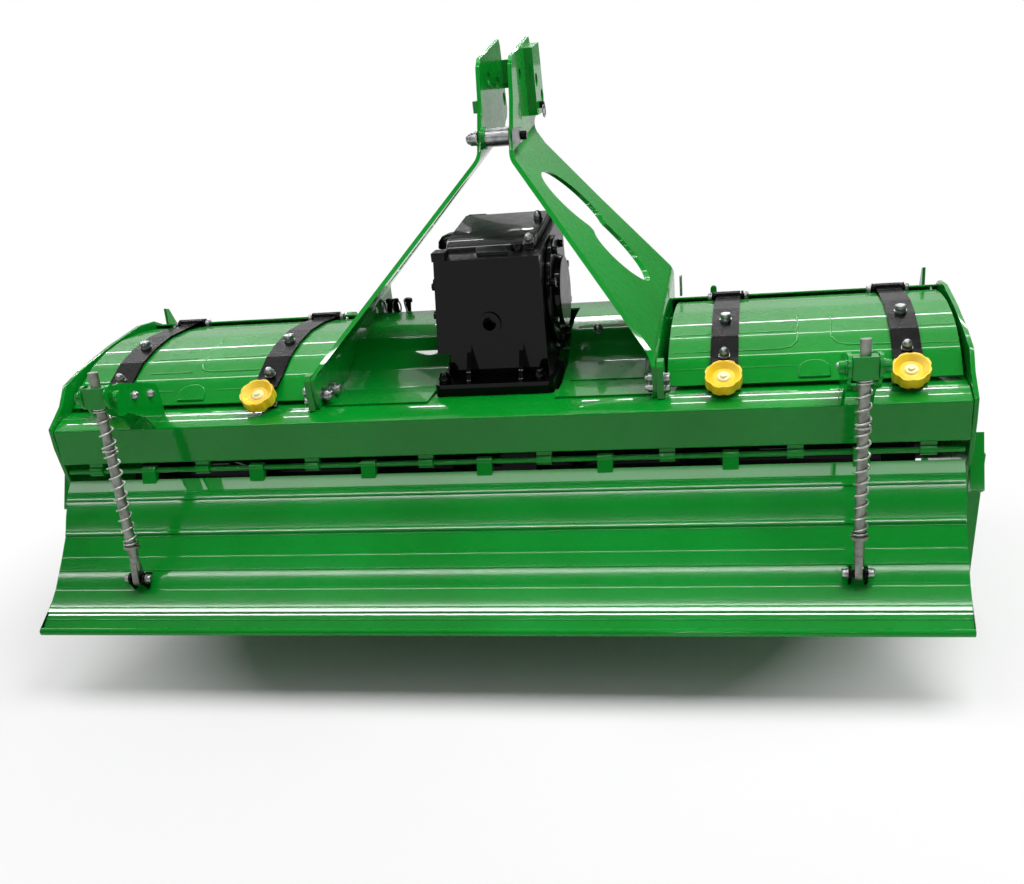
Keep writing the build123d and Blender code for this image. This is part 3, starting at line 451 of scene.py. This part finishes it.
for name, hand in SIDES:
    node = f"rod_spring_{name}"
    sleeve = [vert.co for vert in nodes[node].data.vertices]
    lowest = min(co.z for co in sleeve)
    highest = max(co.z for co in sleeve)
    foot = mean([co for co in sleeve if co.z < lowest + SLEEVE_END])
    head = mean([co for co in sleeve if co.z > highest - SLEEVE_END])
    rise = (head - foot).normalized()
    length = (head - foot).length
    run = sum(turns * pitch for turns, pitch in COIL_RUNS) * MM
    stretch = (length - WIRE * MM) / run
    out = Vector((1, 0, 0))
    made = bmesh.new()
    start = foot + rise * WIRE / 2 * MM + out * COIL_R * MM
    geom = ring(made, stand(start, rise.cross(out), rise), WIRE / 2, sides=8)
    for turns, pitch in COIL_RUNS:
        steps = round(turns * COIL_STEPS)
        spun = bmesh.ops.spin(made, geom=geom, cent=foot, axis=rise, angle=math.tau * turns,
                              dvec=rise * (pitch * turns * MM * stretch / steps), steps=steps)
        geom = [item for item in spun["geom_last"] if isinstance(item, bmesh.types.BMEdge)]
    bmesh.ops.holes_fill(made, edges=made.edges, sides=0)
    spring = new_piece(made, f"coil_spring_{name}", BODY[node], "spring_wire")
    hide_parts(node)
    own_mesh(spring)

# ---- pressed ribs of the rear board and the lids, all in mm ----
RIB_SUNK = 0.4
RIB_EASE = 0.6


def rib(made, node, row, ends, width, height):
    """Adds a pressed rib along the machine at row u, between two ends x."""
    place, facing = seat(node, (ends[0] + ends[1]) / 2, row)
    down = facing.cross(Vector((1, 0, 0)))
    start = Vector((ends[0] * MM, place.y, place.z))
    flat = width / 2 - height
    section = ((-width / 2, -RIB_SUNK), (-flat, height), (flat, height), (width / 2, -RIB_SUNK))
    outline = [start + down * (across * MM) + facing * (lift * MM) for across, lift in section]
    slab(made, outline, Vector(((ends[1] - ends[0]) * MM, 0, 0)), RIB_EASE)


BOARD_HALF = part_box("rear_board")[1].x / MM
# row, width, height
BOARD_RIBS = ((-358.5, 13, 2.4), (-396, 11.5, 2.4), (-449, 4.5, 1.2), (-514, 16, 2.6), (-530, 4.5, 1.2))
made = bmesh.new()
for row, width, height in BOARD_RIBS:
    rib(made, "rear_board", row, (-BOARD_HALF + 1, BOARD_HALF - 1), width, height)
new_piece(made, "board_ribs", "board", "green_enamel")

# each lid: row, inner end, outer end
LID_RIBS = {
    "left": ((-136, 618, 700), (-136, 470, 560), (-226, 640, 700), (-226, 470, 545)),
    "right": ((-133, 345, 412), (-133, 462, 560), (-224, 345, 412), (-224, 462, 560), (-224, 634, 700),
              (-186, 345, 412), (-133, 780, 842), (-186, 780, 842)),
}
LID_RIB_WIDE = 3.6
LID_RIB_HIGH = 0.9
# each lid: the run of each pressed bead, as (x, u)
LID_BEADS = {
    "left": ([(595, -52), (596, -110), (597, -160), (590, -176), (575, -181), (470, -181)],
             [(700, -181), (612, -181)]),
    "right": ([(462, -186), (535, -186), (556, -181), (567, -166), (568, -120), (569, -67)],
              [(630, -71), (628, -120), (627, -158), (636, -174), (655, -182), (728, -184)]),
}
BEAD_R = 2.3
BEAD_SUNK = 0.7
DIMPLE_MID = (595, -231)        # the rounded dimple near the rear edge
DIMPLE_HALF = 28
DIMPLE_LONG = 20
DIMPLE_HIGH = 5
DIMPLE_EASE = 3.2
for name, hand in SIDES:
    lid = f"lid_{name}"
    made = bmesh.new()
    for row, inner, outer in LID_RIBS[name]:
        rib(made, lid, row, sorted((hand * inner, hand * outer)), LID_RIB_WIDE, LID_RIB_HIGH)
    for run in LID_BEADS[name]:
        points = []
        for x, u in run:
            place, facing = seat(lid, hand * x, u)
            points.append(place - facing * BEAD_SUNK * MM)
        swept(made, points, [BEAD_R] * len(points), ahead=(0, 0, 1))
    place, facing = seat(lid, hand * DIMPLE_MID[0], DIMPLE_MID[1])
    ledge = stand(place - facing * LAP * MM, facing)
    outline = [ledge @ Vector((side * DIMPLE_HALF * MM, -DIMPLE_LONG * MM, 0)) for side in (-1, 1)]
    outline += [ledge @ Vector((DIMPLE_HALF * MM * math.cos(turn), DIMPLE_LONG * MM * math.sin(turn), 0))
                for turn in [math.pi * step / 10 for step in range(11)]]
    slab(made, outline, facing * DIMPLE_HIGH * MM, DIMPLE_EASE)
    new_piece(made, f"lid_pressings_{name}", BODY[lid], "green_enamel")

# ---- lid fastenings, all in mm ----
STRAPS = (437, 754)             # middle of each strap
STRAP_BOLTS = ((-84, 19, False), (-206, 17, True))      # u, across flats, domed
LID_HINGE_AT = (140, 540)       # u and height of the lids' hinge pins
LID_HINGE_OUT = 35              # from a strap's middle to the pin's ends
LID_HINGE_HEAD = [(-1.5, 9.5), (4, 9.5), (6, 8), (6.6, 5)]
CLAMP_AT = (-266, 473)          # u and height of the clamp pins
CLAMP_OUT = 26                  # the same for the clamp's pin
CLAMP_HEAD = [(-3.2, 5.8), (3, 5.8), (4, 4.6)]
KNOB_UP = Vector((0, -0.5, math.cos(math.radians(30))))
KNOB_FACE = 28.2                # from the clamp pin to the knob's face
KNOB_HUB = [(-1, 12), (1.5, 11.4), (2.6, 9.5), (2.6, 6), (5.4, 5.2), (6, 4)]
for name, hand in SIDES:
    straps = f"lid_straps_{name}"
    bolts = bmesh.new()
    hubs = bmesh.new()
    fixed = bmesh.new()
    for x in STRAPS:
        for u, across, dome in STRAP_BOLTS:
            bolt_down(bolts, straps, hand * x, u, across, dome)
        knob = mm(hand * x, *CLAMP_AT) + KNOB_UP * KNOB_FACE * MM
        turned(hubs, stand(knob, KNOB_UP), KNOB_HUB)
        for side in (-1, 1):
            turned(fixed, stand(mm(hand * x + side * LID_HINGE_OUT, *LID_HINGE_AT), (side, 0, 0)),
                   LID_HINGE_HEAD)
            turned(fixed, stand(mm(hand * x + side * CLAMP_OUT, *CLAMP_AT), (side, 0, 0)), CLAMP_HEAD)
    new_piece(bolts, f"strap_bolts_{name}", BODY[straps], "zinc")
    new_piece(hubs, f"knob_hubs_{name}", BODY[straps], "pale_nylon")
    new_piece(fixed, f"lid_pin_heads_{name}", "frame", "zinc")

# ---- rod brackets, swivels and lower pins: their bolts and nuts, all in mm ----
ROD_X = 662
BRACKET_BOLTS = ((-372, 533), (-318, 519))
BRACKET_IN = 21                 # from the rod to the bracket's inner and outer faces
BRACKET_OUT = 27
SWIVEL_AT = (-442, 553)         # u and height of the swivel's axis
SWIVEL_OUT = 28
ROD_PIN_AT = (-477, 208)        # u and height of the rod's lower pin
ROD_PIN_OUT = 17
for name, hand in SIDES:
    silver = bmesh.new()
    for u, z in BRACKET_BOLTS:
        bolt(silver, mm(hand * (ROD_X - BRACKET_IN), u, z), (-hand, 0, 0), across=16, dome=True)
        bolt(silver, mm(hand * (ROD_X + BRACKET_OUT), u, z), (hand, 0, 0), across=16)
    new_piece(silver, f"bracket_bolts_{name}", "frame", "zinc")
    green = bmesh.new()
    lower = bmesh.new()
    for side in (-1, 1):
        bolt(green, mm(hand * ROD_X + side * SWIVEL_OUT, *SWIVEL_AT), (side, 0, 0), across=20)
        bolt(lower, mm(hand * ROD_X + side * ROD_PIN_OUT, *ROD_PIN_AT), (side, 0, 0), across=15)
    new_piece(green, f"trunnion_nuts_{name}", BODY[f"rod_swivel_{name}"], "green_enamel")
    new_piece(lower, f"rod_pin_nuts_{name}", "board", "zinc")

# ---- gearbox: its fin, ledge, bosses and bolts, all in mm ----
OUTSIDE = 300                   # x beside the gearbox, clear of it
FIN = ((-7, -172, 714), (52, -173, 714), (-34, 63, 747), (-74, 66, 747))
FIN_DEEP = 18
CAST_EASE = 3
BUMP_AT = (-74, -58, 708)
BUMP = [(0, 34), (12, 32), (20, 25), (25, 12)]
LEDGE = ((-88, -196), (-62, -196), (-62, -160), (-88, -160))
LEDGE_Z = 706
LEDGE_HIGH = 16
BOSS_AT = (62, -144, 700)
BOSS = [(0, 11), (20, 11), (22, 9)]
WALL_BOLTS = ((-160, 662), (-168, 604))
COVER_AT = (-55, 612)           # u and height of the side covers' middle
COVERS = (("right", 1, 90, 8), ("left", -1, 66, 6))     # side, hand, bolt circle's radius, bolts
FOOT_BOLTS = ((-84, -222), (98, -222))
TOP_BOLTS = ((83, -15), (84, -132))
cast = bmesh.new()
slab(cast, [mm(x, u, z - FIN_DEEP) for x, u, z in FIN], Vector((0, 0, FIN_DEEP * MM)), CAST_EASE)
turned(cast, stand(mm(*BUMP_AT), (0, 0, 1)), BUMP)
slab(cast, [mm(x, u, LEDGE_Z) for x, u in LEDGE], Vector((0, 0, LEDGE_HIGH * MM)), CAST_EASE)
turned(cast, stand(mm(*BOSS_AT), (0, 0, 1)), BOSS)
for u, z in WALL_BOLTS:
    place, facing = meet("gearbox", mm(-OUTSIDE, u, z), (1, 0, 0))
    bolt(cast, place, facing, across=14)
for name, hand, circle, count in COVERS:
    for number in range(count):
        turn = math.tau * (number + 0.5) / count
        start = mm(hand * OUTSIDE, COVER_AT[0] + circle * math.cos(turn),
                   COVER_AT[1] + circle * math.sin(turn))
        bolt_across(cast, f"gearbox_cover_{name}", start, -hand, across=13)
for x, u in FOOT_BOLTS:
    bolt_down(cast, "gearbox", x, u, across=20, dome=True)
new_piece(cast, "gearbox_fittings", "frame", "cast_black_enamel")
bright = bmesh.new()
for x, u in TOP_BOLTS:
    bolt_down(bright, "gearbox_top_cover", x, u, across=15, dome=True)
new_piece(bright, "gearbox_bolts", "frame", "zinc")

# ---- centre hood's raised panel and its bolt, all in mm ----
PANEL_X = (148, 287)
PANEL_U = (-181, -13)
PANEL_LIFT = (0, -0.5 * MM, 3.2 * MM)
HOOD_BOLT = (187, -31)
HOOD_BOLT_LIFT = 2
made = bmesh.new()
bmesh.ops.create_grid(made, x_segments=2, y_segments=14, size=0.5)
for vert in made.verts:
    x = PANEL_X[0] + (vert.co.x + 0.5) * (PANEL_X[1] - PANEL_X[0])
    u = PANEL_U[0] + (vert.co.y + 0.5) * (PANEL_U[1] - PANEL_U[0])
    place, facing = seat("centre_hood", x, u)
    vert.co = place - facing * LAP * MM
raised = bmesh.ops.extrude_face_region(made, geom=list(made.faces))
upper = [item for item in raised["geom"] if isinstance(item, bmesh.types.BMVert)]
bmesh.ops.translate(made, verts=upper, vec=PANEL_LIFT)
new_piece(made, "hood_panel", "frame", "green_enamel")
made = bmesh.new()
place, facing = seat("centre_hood", *HOOD_BOLT)
bolt(made, place + facing * HOOD_BOLT_LIFT * MM, facing, across=16, dome=True)
new_piece(made, "hood_bolt", "frame", "zinc")

# ---- mast: nuts, foot bolts, collar, lug, welds, pins and wire clips, all in mm ----
CROSS_TUBE = (63, 885)          # u and height of its axis
TUBE_NUT_X = -35.5
SQUARE_NUT_X = 35.2
SQUARE_NUT = [(0, 19), (12, 19.5), (14, 17)]
BETWEEN = 200                   # x between the mast's feet
BESIDE = 500                    # x outside them
INNER_BOLTS = ((-222, 486), (-266, 488))                # on the left foot
STUDS = ((-277, 482), (-277, 500))                      # on the right foot
OUTER_BOLTS = ((-281, 500), (-281, 482))                # on both
silver = bmesh.new()
bolt(silver, mm(TUBE_NUT_X, *CROSS_TUBE), (-1, 0, 0), across=24, dome=True)
nut = stand(mm(SQUARE_NUT_X, *CROSS_TUBE), (1, 0, 0)) @ Matrix.Rotation(math.radians(45), 4, "Z")
turned(silver, nut, SQUARE_NUT, sides=4)
for u, z in INNER_BOLTS:
    bolt_across(silver, "mast_left", mm(-BETWEEN, u, z), -1, across=23, dome=True)
for u, z in STUDS:
    bolt_across(silver, "mast_right", mm(BETWEEN, u, z), 1, across=15, stud=5)
for name, hand in SIDES:
    for u, z in OUTER_BOLTS:
        bolt_across(silver, f"mast_{name}", mm(hand * BESIDE, u, z), -hand, across=16)
new_piece(silver, "mast_bolts", "frame", "zinc")

COLLAR_X = -27.5                # a welded collar on the cross tube
LUG_X = -35.2
LUG = ((84, 928), (96, 928), (96, 950), (84, 950))
LUG_THICK = 9
FOOT_FACES = (311, 333)         # x beside each foot's plate
FOOT_WELD_U = (-296, -264)
BEAM_WELD_Z = 467.5             # on the rear beam's top
green = bmesh.new()
ring_plate(green, stand(mm(COLLAR_X, *CROSS_TUBE), (1, 0, 0)), inner=16.5, outer=21, high=9)
slab(green, [mm(LUG_X, u, z) for u, z in LUG], Vector((-LUG_THICK * MM, 0, 0)), corner=1.5)
for hand in (-1, 1):
    for x in FOOT_FACES:
        start, end = [mm(hand * x, u, BEAM_WELD_Z) for u in FOOT_WELD_U]
        weld(green, start, end, radius=2.6)
new_piece(green, "mast_welds", "frame", "green_enamel")

PIN_HEAD_AT = (53, 280, 922)
PIN_HEAD = [(0, 7), (8, 7), (10, 5)]
TUBE_PIN_X = 50
TUBE_PIN_HEAD = [(-1, 8), (9, 8), (11, 6)]
dark = bmesh.new()
turned(dark, stand(mm(*PIN_HEAD_AT), (1, 0, 0)), PIN_HEAD)
turned(dark, stand(mm(TUBE_PIN_X, *CROSS_TUBE), (1, 0, 0)), TUBE_PIN_HEAD)
new_piece(dark, "mast_pin_heads", "frame", "black_enamel")

HEAD_CLIP_AT = (61, 280, 911)
# three spare pins, each with a clip: x, the pin's lean and the clip's turn
SPARE_PINS = ((-262, 0.12, 0.2), (-284, -0.1, -0.3), (-306, 0.16, 0.1))
SPARE_PIN_AT = (176, 520)       # u and height of their feet
SPARE_PIN = [(0, 6), (36, 6), (37, 9), (43, 9), (45, 7)]
SPARE_CLIP_AT = (172, 548)
# a short upright strip at the front, ahead of the right mast plate's foot
STRIP_X = 337
STRIP = ((158, 542), (172, 542), (172, 583), (158, 583))
STRIP_THICK = 5
wire = bmesh.new()
pins = bmesh.new()
clip(wire, stand(mm(*HEAD_CLIP_AT), (1, 0, 0)), radius=13, wire=1.6)
for x, lean, turn in SPARE_PINS:
    clip(wire, stand(mm(x, *SPARE_CLIP_AT), (1, turn, 0.2)), radius=15, wire=1.8)
    turned(pins, stand(mm(x, *SPARE_PIN_AT), (lean, 0, 1)), SPARE_PIN, sides=16)
slab(wire, [mm(STRIP_X, u, z) for u, z in STRIP], Vector((STRIP_THICK * MM, 0, 0)), corner=1.2)
new_piece(wire, "pin_clips", "frame", "zinc")
new_piece(pins, "spare_pins", "frame", "black_enamel")

# an upright tab with a round top, on the front beam
TAB_MID = 405.5
TAB_HALF = 6.5
TAB_U = 196
TAB_THICK = 9
TAB_FOOT = 498
TAB_ROUND_Z = 545
arch = [math.pi * step / 8 for step in range(9)]
outline = [mm(TAB_MID - TAB_HALF, TAB_U, TAB_FOOT), mm(TAB_MID + TAB_HALF, TAB_U, TAB_FOOT)]
outline += [mm(TAB_MID + TAB_HALF * math.cos(turn), TAB_U, TAB_ROUND_Z + TAB_HALF * math.sin(turn))
            for turn in arch]
tab = bmesh.new()
slab(tab, outline, Vector((0, TAB_THICK * MM, 0)), corner=1.2)
new_piece(tab, "front_tab", "frame", "green_enamel")

# ---- bearings, skids and lower hitch brackets: their bolts and welds, all in mm ----
ROTOR_Z = 250
BEARING_FACE = 870              # x of the bearings' outer faces
BEARING_BOLT_R = 54
BEARING_BOLTS = 4
SKID_FACE = 868                 # the skids' bolts stand on this x
SKID_BOLTS = ((-218, 308), (230, 300), (232, 256))
END_WELD_X = 860.5
END_WELDS = (((-200, 329), (-191, 272)), ((200, 329), (200, 252)))      # each from and to, as (u, z)
HITCH_X = 406.5
HITCH_HALF = 6.5
HITCH_WELD_Z = 440.5
HITCH_WELD_U = (168, 236)
BRACKET_HALF = 24
BRACKET_WELD_U = (-282, -328)
green = bmesh.new()
silver = bmesh.new()
for name, hand in SIDES:
    for number in range(BEARING_BOLTS):
        turn = math.tau * (number + 0.5) / BEARING_BOLTS
        bolt(silver, mm(hand * BEARING_FACE, BEARING_BOLT_R * math.cos(turn),
                        ROTOR_Z + BEARING_BOLT_R * math.sin(turn)), (hand, 0, 0), across=15)
    for u, z in SKID_BOLTS:
        bolt(silver, mm(hand * SKID_FACE, u, z), (hand, 0, 0), across=17)
    for start, end in END_WELDS:
        weld(green, mm(hand * END_WELD_X, *start), mm(hand * END_WELD_X, *end))
    for side in (-1, 1):
        start, end = [mm(hand * HITCH_X + side * HITCH_HALF, u, HITCH_WELD_Z) for u in HITCH_WELD_U]
        weld(green, start, end, radius=2.8)
        start, end = [mm(hand * ROD_X + side * BRACKET_HALF, u, BEAM_WELD_Z) for u in BRACKET_WELD_U]
        weld(green, start, end, radius=2.0)
new_piece(silver, "frame_bolts", "frame", "zinc")
new_piece(green, "frame_welds", "frame", "green_enamel")

# ---- drive case and blades: their bolts, all in mm ----
CASE_FACE = 48                  # x of the case's two sides
CASE_BOLT_R = 70
CASE_BOLTS = [(-74, 470), (0, 470), (74, 470), (-74, 380), (74, 380), (-70, ROTOR_Z), (70, ROTOR_Z)]
CASE_BOLTS += [(CASE_BOLT_R * math.cos(turn), ROTOR_Z - CASE_BOLT_R * math.sin(turn))
               for turn in [math.pi * step / 4 for step in (1, 2, 3)]]
made = bmesh.new()
for side in (-1, 1):
    for u, z in CASE_BOLTS:
        bolt(made, mm(side * CASE_FACE, u, z), (side, 0, 0), across=13, washer=False)
new_piece(made, "drive_case_bolts", "frame", "black_enamel")

BLADES_EACH = 6
ROWS = 4
ROW_TURN = 15                   # degrees that each row of blades is turned on from the last
FIRST_FLANGE = 125
LAST_FLANGE = 785
BLADE_FACE = 12                 # from the flange's middle to the blade's outer face
BLADE_BOLT_R = 78
BLADE_BOLT_APART = 9            # each way from the blade's middle
made = bmesh.new()
for hand in (-1, 1):
    for row in range(ROWS):
        flange_x = FIRST_FLANGE + row * (LAST_FLANGE - FIRST_FLANGE) / (ROWS - 1)
        for blade in range(BLADES_EACH):
            turn = math.radians(360 / BLADES_EACH * blade + ROW_TURN * row)
            lean = 1 if blade % 2 else -1
            if row == ROWS - 1:
                lean = -hand
            for offset in (-BLADE_BOLT_APART, BLADE_BOLT_APART):
                across = math.cos(turn) * BLADE_BOLT_R - math.sin(turn) * offset
                up = math.sin(turn) * BLADE_BOLT_R + math.cos(turn) * offset
                bolt(made, mm(hand * flange_x + lean * BLADE_FACE, across, ROTOR_Z + up),
                     (lean, 0, 0), across=13, washer=False)
new_piece(made, "blade_bolts", "rotor", "rotor_paint")


# ---- floor, light and camera ----
def seen_by(tree, *kinds):
    """1 for rays of any of these kinds, 0 for all others."""
    rays = add(tree, "ShaderNodeLightPath").outputs
    total = rays[kinds[0]]
    for kind in kinds[1:]:
        either = add(tree, "ShaderNodeMath", {0: total, 1: rays[kind]}, operation="MAXIMUM")
        total = either.outputs["Value"]
    return total


FLOOR_GREY = 0.88
FLOOR_FADE = (0.6, 1.4)         # metres out from the middle, where the floor turns to plain white
bpy.ops.mesh.primitive_plane_add(size=60)
floor = bpy.context.object
floor.name = "studio_floor"
material, tree, place = new_material("pale_studio_floor")
reach = add(tree, "ShaderNodeVectorMath", {0: place}, operation="LENGTH")
far = add(tree, "ShaderNodeMapRange", {
    "Value": reach.outputs["Value"], "From Min": FLOOR_FADE[0], "From Max": FLOOR_FADE[1]})
seen = seen_by(tree, "Is Camera Ray", "Is Glossy Ray", "Is Transmission Ray")
white = add(tree, "ShaderNodeMath", {0: far.outputs["Result"], 1: seen}, operation="MULTIPLY")
paint = add(tree, "ShaderNodeBsdfDiffuse", {"Color": grey(FLOOR_GREY)})
glow = add(tree, "ShaderNodeEmission", {"Color": grey(1.0), "Strength": 1.0})
mix = add(tree, "ShaderNodeMixShader", {
    0: white.outputs["Value"], 1: paint.outputs["BSDF"], 2: glow.outputs["Emission"]})
add(tree, "ShaderNodeOutputMaterial", {"Surface": mix.outputs["Shader"]})
floor.data.materials.append(material)

# gloss reflects a pale wall ahead of the machine, and a dark room above, behind and to the right
WALL = ((0.0, 0.3), (0.04, 0.9), (0.33, 0.9), (0.4, 0.06), (1.0, 0.1))  # 0 is ahead, 1 is behind
RIGHT_FADE = (0.12, 0.28)       # how far to the right the wall starts and ends to darken
RIGHT_DARK = 0.12               # what is left of it there
AIR_LEVEL = 0.25                # what lights the machine from all round
world = bpy.data.worlds.new("studio_air")
world.use_nodes = True
world.node_tree.nodes.clear()
air = world.node_tree
towards = add(air, "ShaderNodeTexCoord").outputs["Generated"]
heading = add(air, "ShaderNodeSeparateXYZ", {"Vector": towards})
climb = add(air, "ShaderNodeMath", {0: heading.outputs["Z"], 1: heading.outputs["Y"]}, operation="ARCTAN2")
share = add(air, "ShaderNodeMapRange", {
    "Value": climb.outputs["Value"], "From Min": 0.0, "From Max": math.pi})
wall = ramp(air, share.outputs["Result"], [(stop, grey(shade)) for stop, shade in WALL])
right = add(air, "ShaderNodeMapRange", {
    "Value": heading.outputs["X"], "From Min": RIGHT_FADE[0], "From Max": RIGHT_FADE[1],
    "To Min": 1.0, "To Max": RIGHT_DARK})
seen_wall = add(air, "ShaderNodeMath", {0: wall, 1: right.outputs["Result"]}, operation="MULTIPLY")
gloss = add(air, "ShaderNodeMapRange", {
    "Value": seen_by(air, "Is Glossy Ray"), "To Min": AIR_LEVEL, "To Max": seen_wall.outputs["Value"]})
level = add(air, "ShaderNodeMapRange", {
    "Value": seen_by(air, "Is Camera Ray", "Is Transmission Ray"),
    "To Min": gloss.outputs["Result"], "To Max": 1.0})
sky = add(air, "ShaderNodeBackground", {"Color": grey(1.0), "Strength": level.outputs["Result"]})
add(air, "ShaderNodeOutputWorld", {"Surface": sky.outputs["Background"]})
bpy.context.scene.world = world


def area_lamp(name, where, watts, size, width=None):
    """A square lamp, or a long one if a width is given, that shines down its own z; in metres."""
    light = bpy.data.lights.new(name, "AREA")
    light.shape = "RECTANGLE" if width else "SQUARE"
    light.size = size
    if width:
        light.size_y = width
    light.energy = watts
    holder = bpy.data.objects.new(name, light)
    holder.matrix_world = where
    bpy.context.scene.collection.objects.link(holder)
    return holder


# broad lamps that light the machine: place, watts, side in metres
BROAD_LAMPS = (
    ((1.4, -0.1, 3.3), 98, 2.0),
    ((-1.4, 0.0, 3.2), 42, 2.2),
)
MIDDLE = at(0, 0, 0.45)
for number, (spot, watts, side) in enumerate(BROAD_LAMPS):
    lamp = area_lamp(f"broad_lamp_{number}", stand(at(*spot), at(*spot) - MIDDLE), watts, side)
    lamp.visible_glossy = False
# tube lamps along the machine, seen only in its gloss: what each faces (u, z), its angle up from
# the rear horizon, watts, width in metres
TUBE_LAMPS = (
    (-0.3585, 0.324, 149, 24, 0.05),
    (-0.396, 0.268, 137, 28, 0.05),
    (-0.449, 0.212, 66, 6, 0.008),
    (-0.3585, 0.324, 50, 9, 0.014),
    (-0.396, 0.268, 38, 15, 0.014),
    (-0.514, 0.160, 82, 44, 0.05),
    (-0.340, 0.344, 74, 9, 0.07),
    (-0.10, 0.53, 112, 34, 0.10),
)
LAMP_REACH = 3.0
LAMP_LONG = 5.2
LAMP_MID = -0.5
for number, (u, z, angle, watts, width) in enumerate(TUBE_LAMPS):
    away = Vector((0, -math.cos(math.radians(angle)), math.sin(math.radians(angle))))
    where = stand(at(LAMP_MID, u, z) + away * LAMP_REACH, away)
    lamp = area_lamp(f"tube_lamp_{number}", where, watts, LAMP_LONG, width)
    lamp.visible_diffuse = False
    lamp.visible_camera = False

CAMERA_AT = at(0.4917, -2.2211, 1.0802)
CAMERA_YAW = math.radians(-11.704)
CAMERA_PITCH = math.radians(27.86)
CAMERA_ROLL = math.radians(5.642)
camera = bpy.data.objects.new("camera", bpy.data.cameras.new("camera"))
camera.data.sensor_width = 36
camera.data.lens = 39.268
camera.data.shift_x = -0.0391
camera.data.shift_y = 0.1641
camera.location = CAMERA_AT
camera.rotation_mode = "QUATERNION"
camera.rotation_quaternion = (
    Matrix.Rotation(-CAMERA_YAW, 3, "Z")
    @ Matrix.Rotation(math.radians(90) - CAMERA_PITCH, 3, "X")
    @ Matrix.Rotation(-CAMERA_ROLL, 3, "Z")
).to_quaternion()
bpy.context.scene.collection.objects.link(camera)
bpy.context.scene.camera = camera
bpy.context.scene.view_settings.view_transform = "Standard"
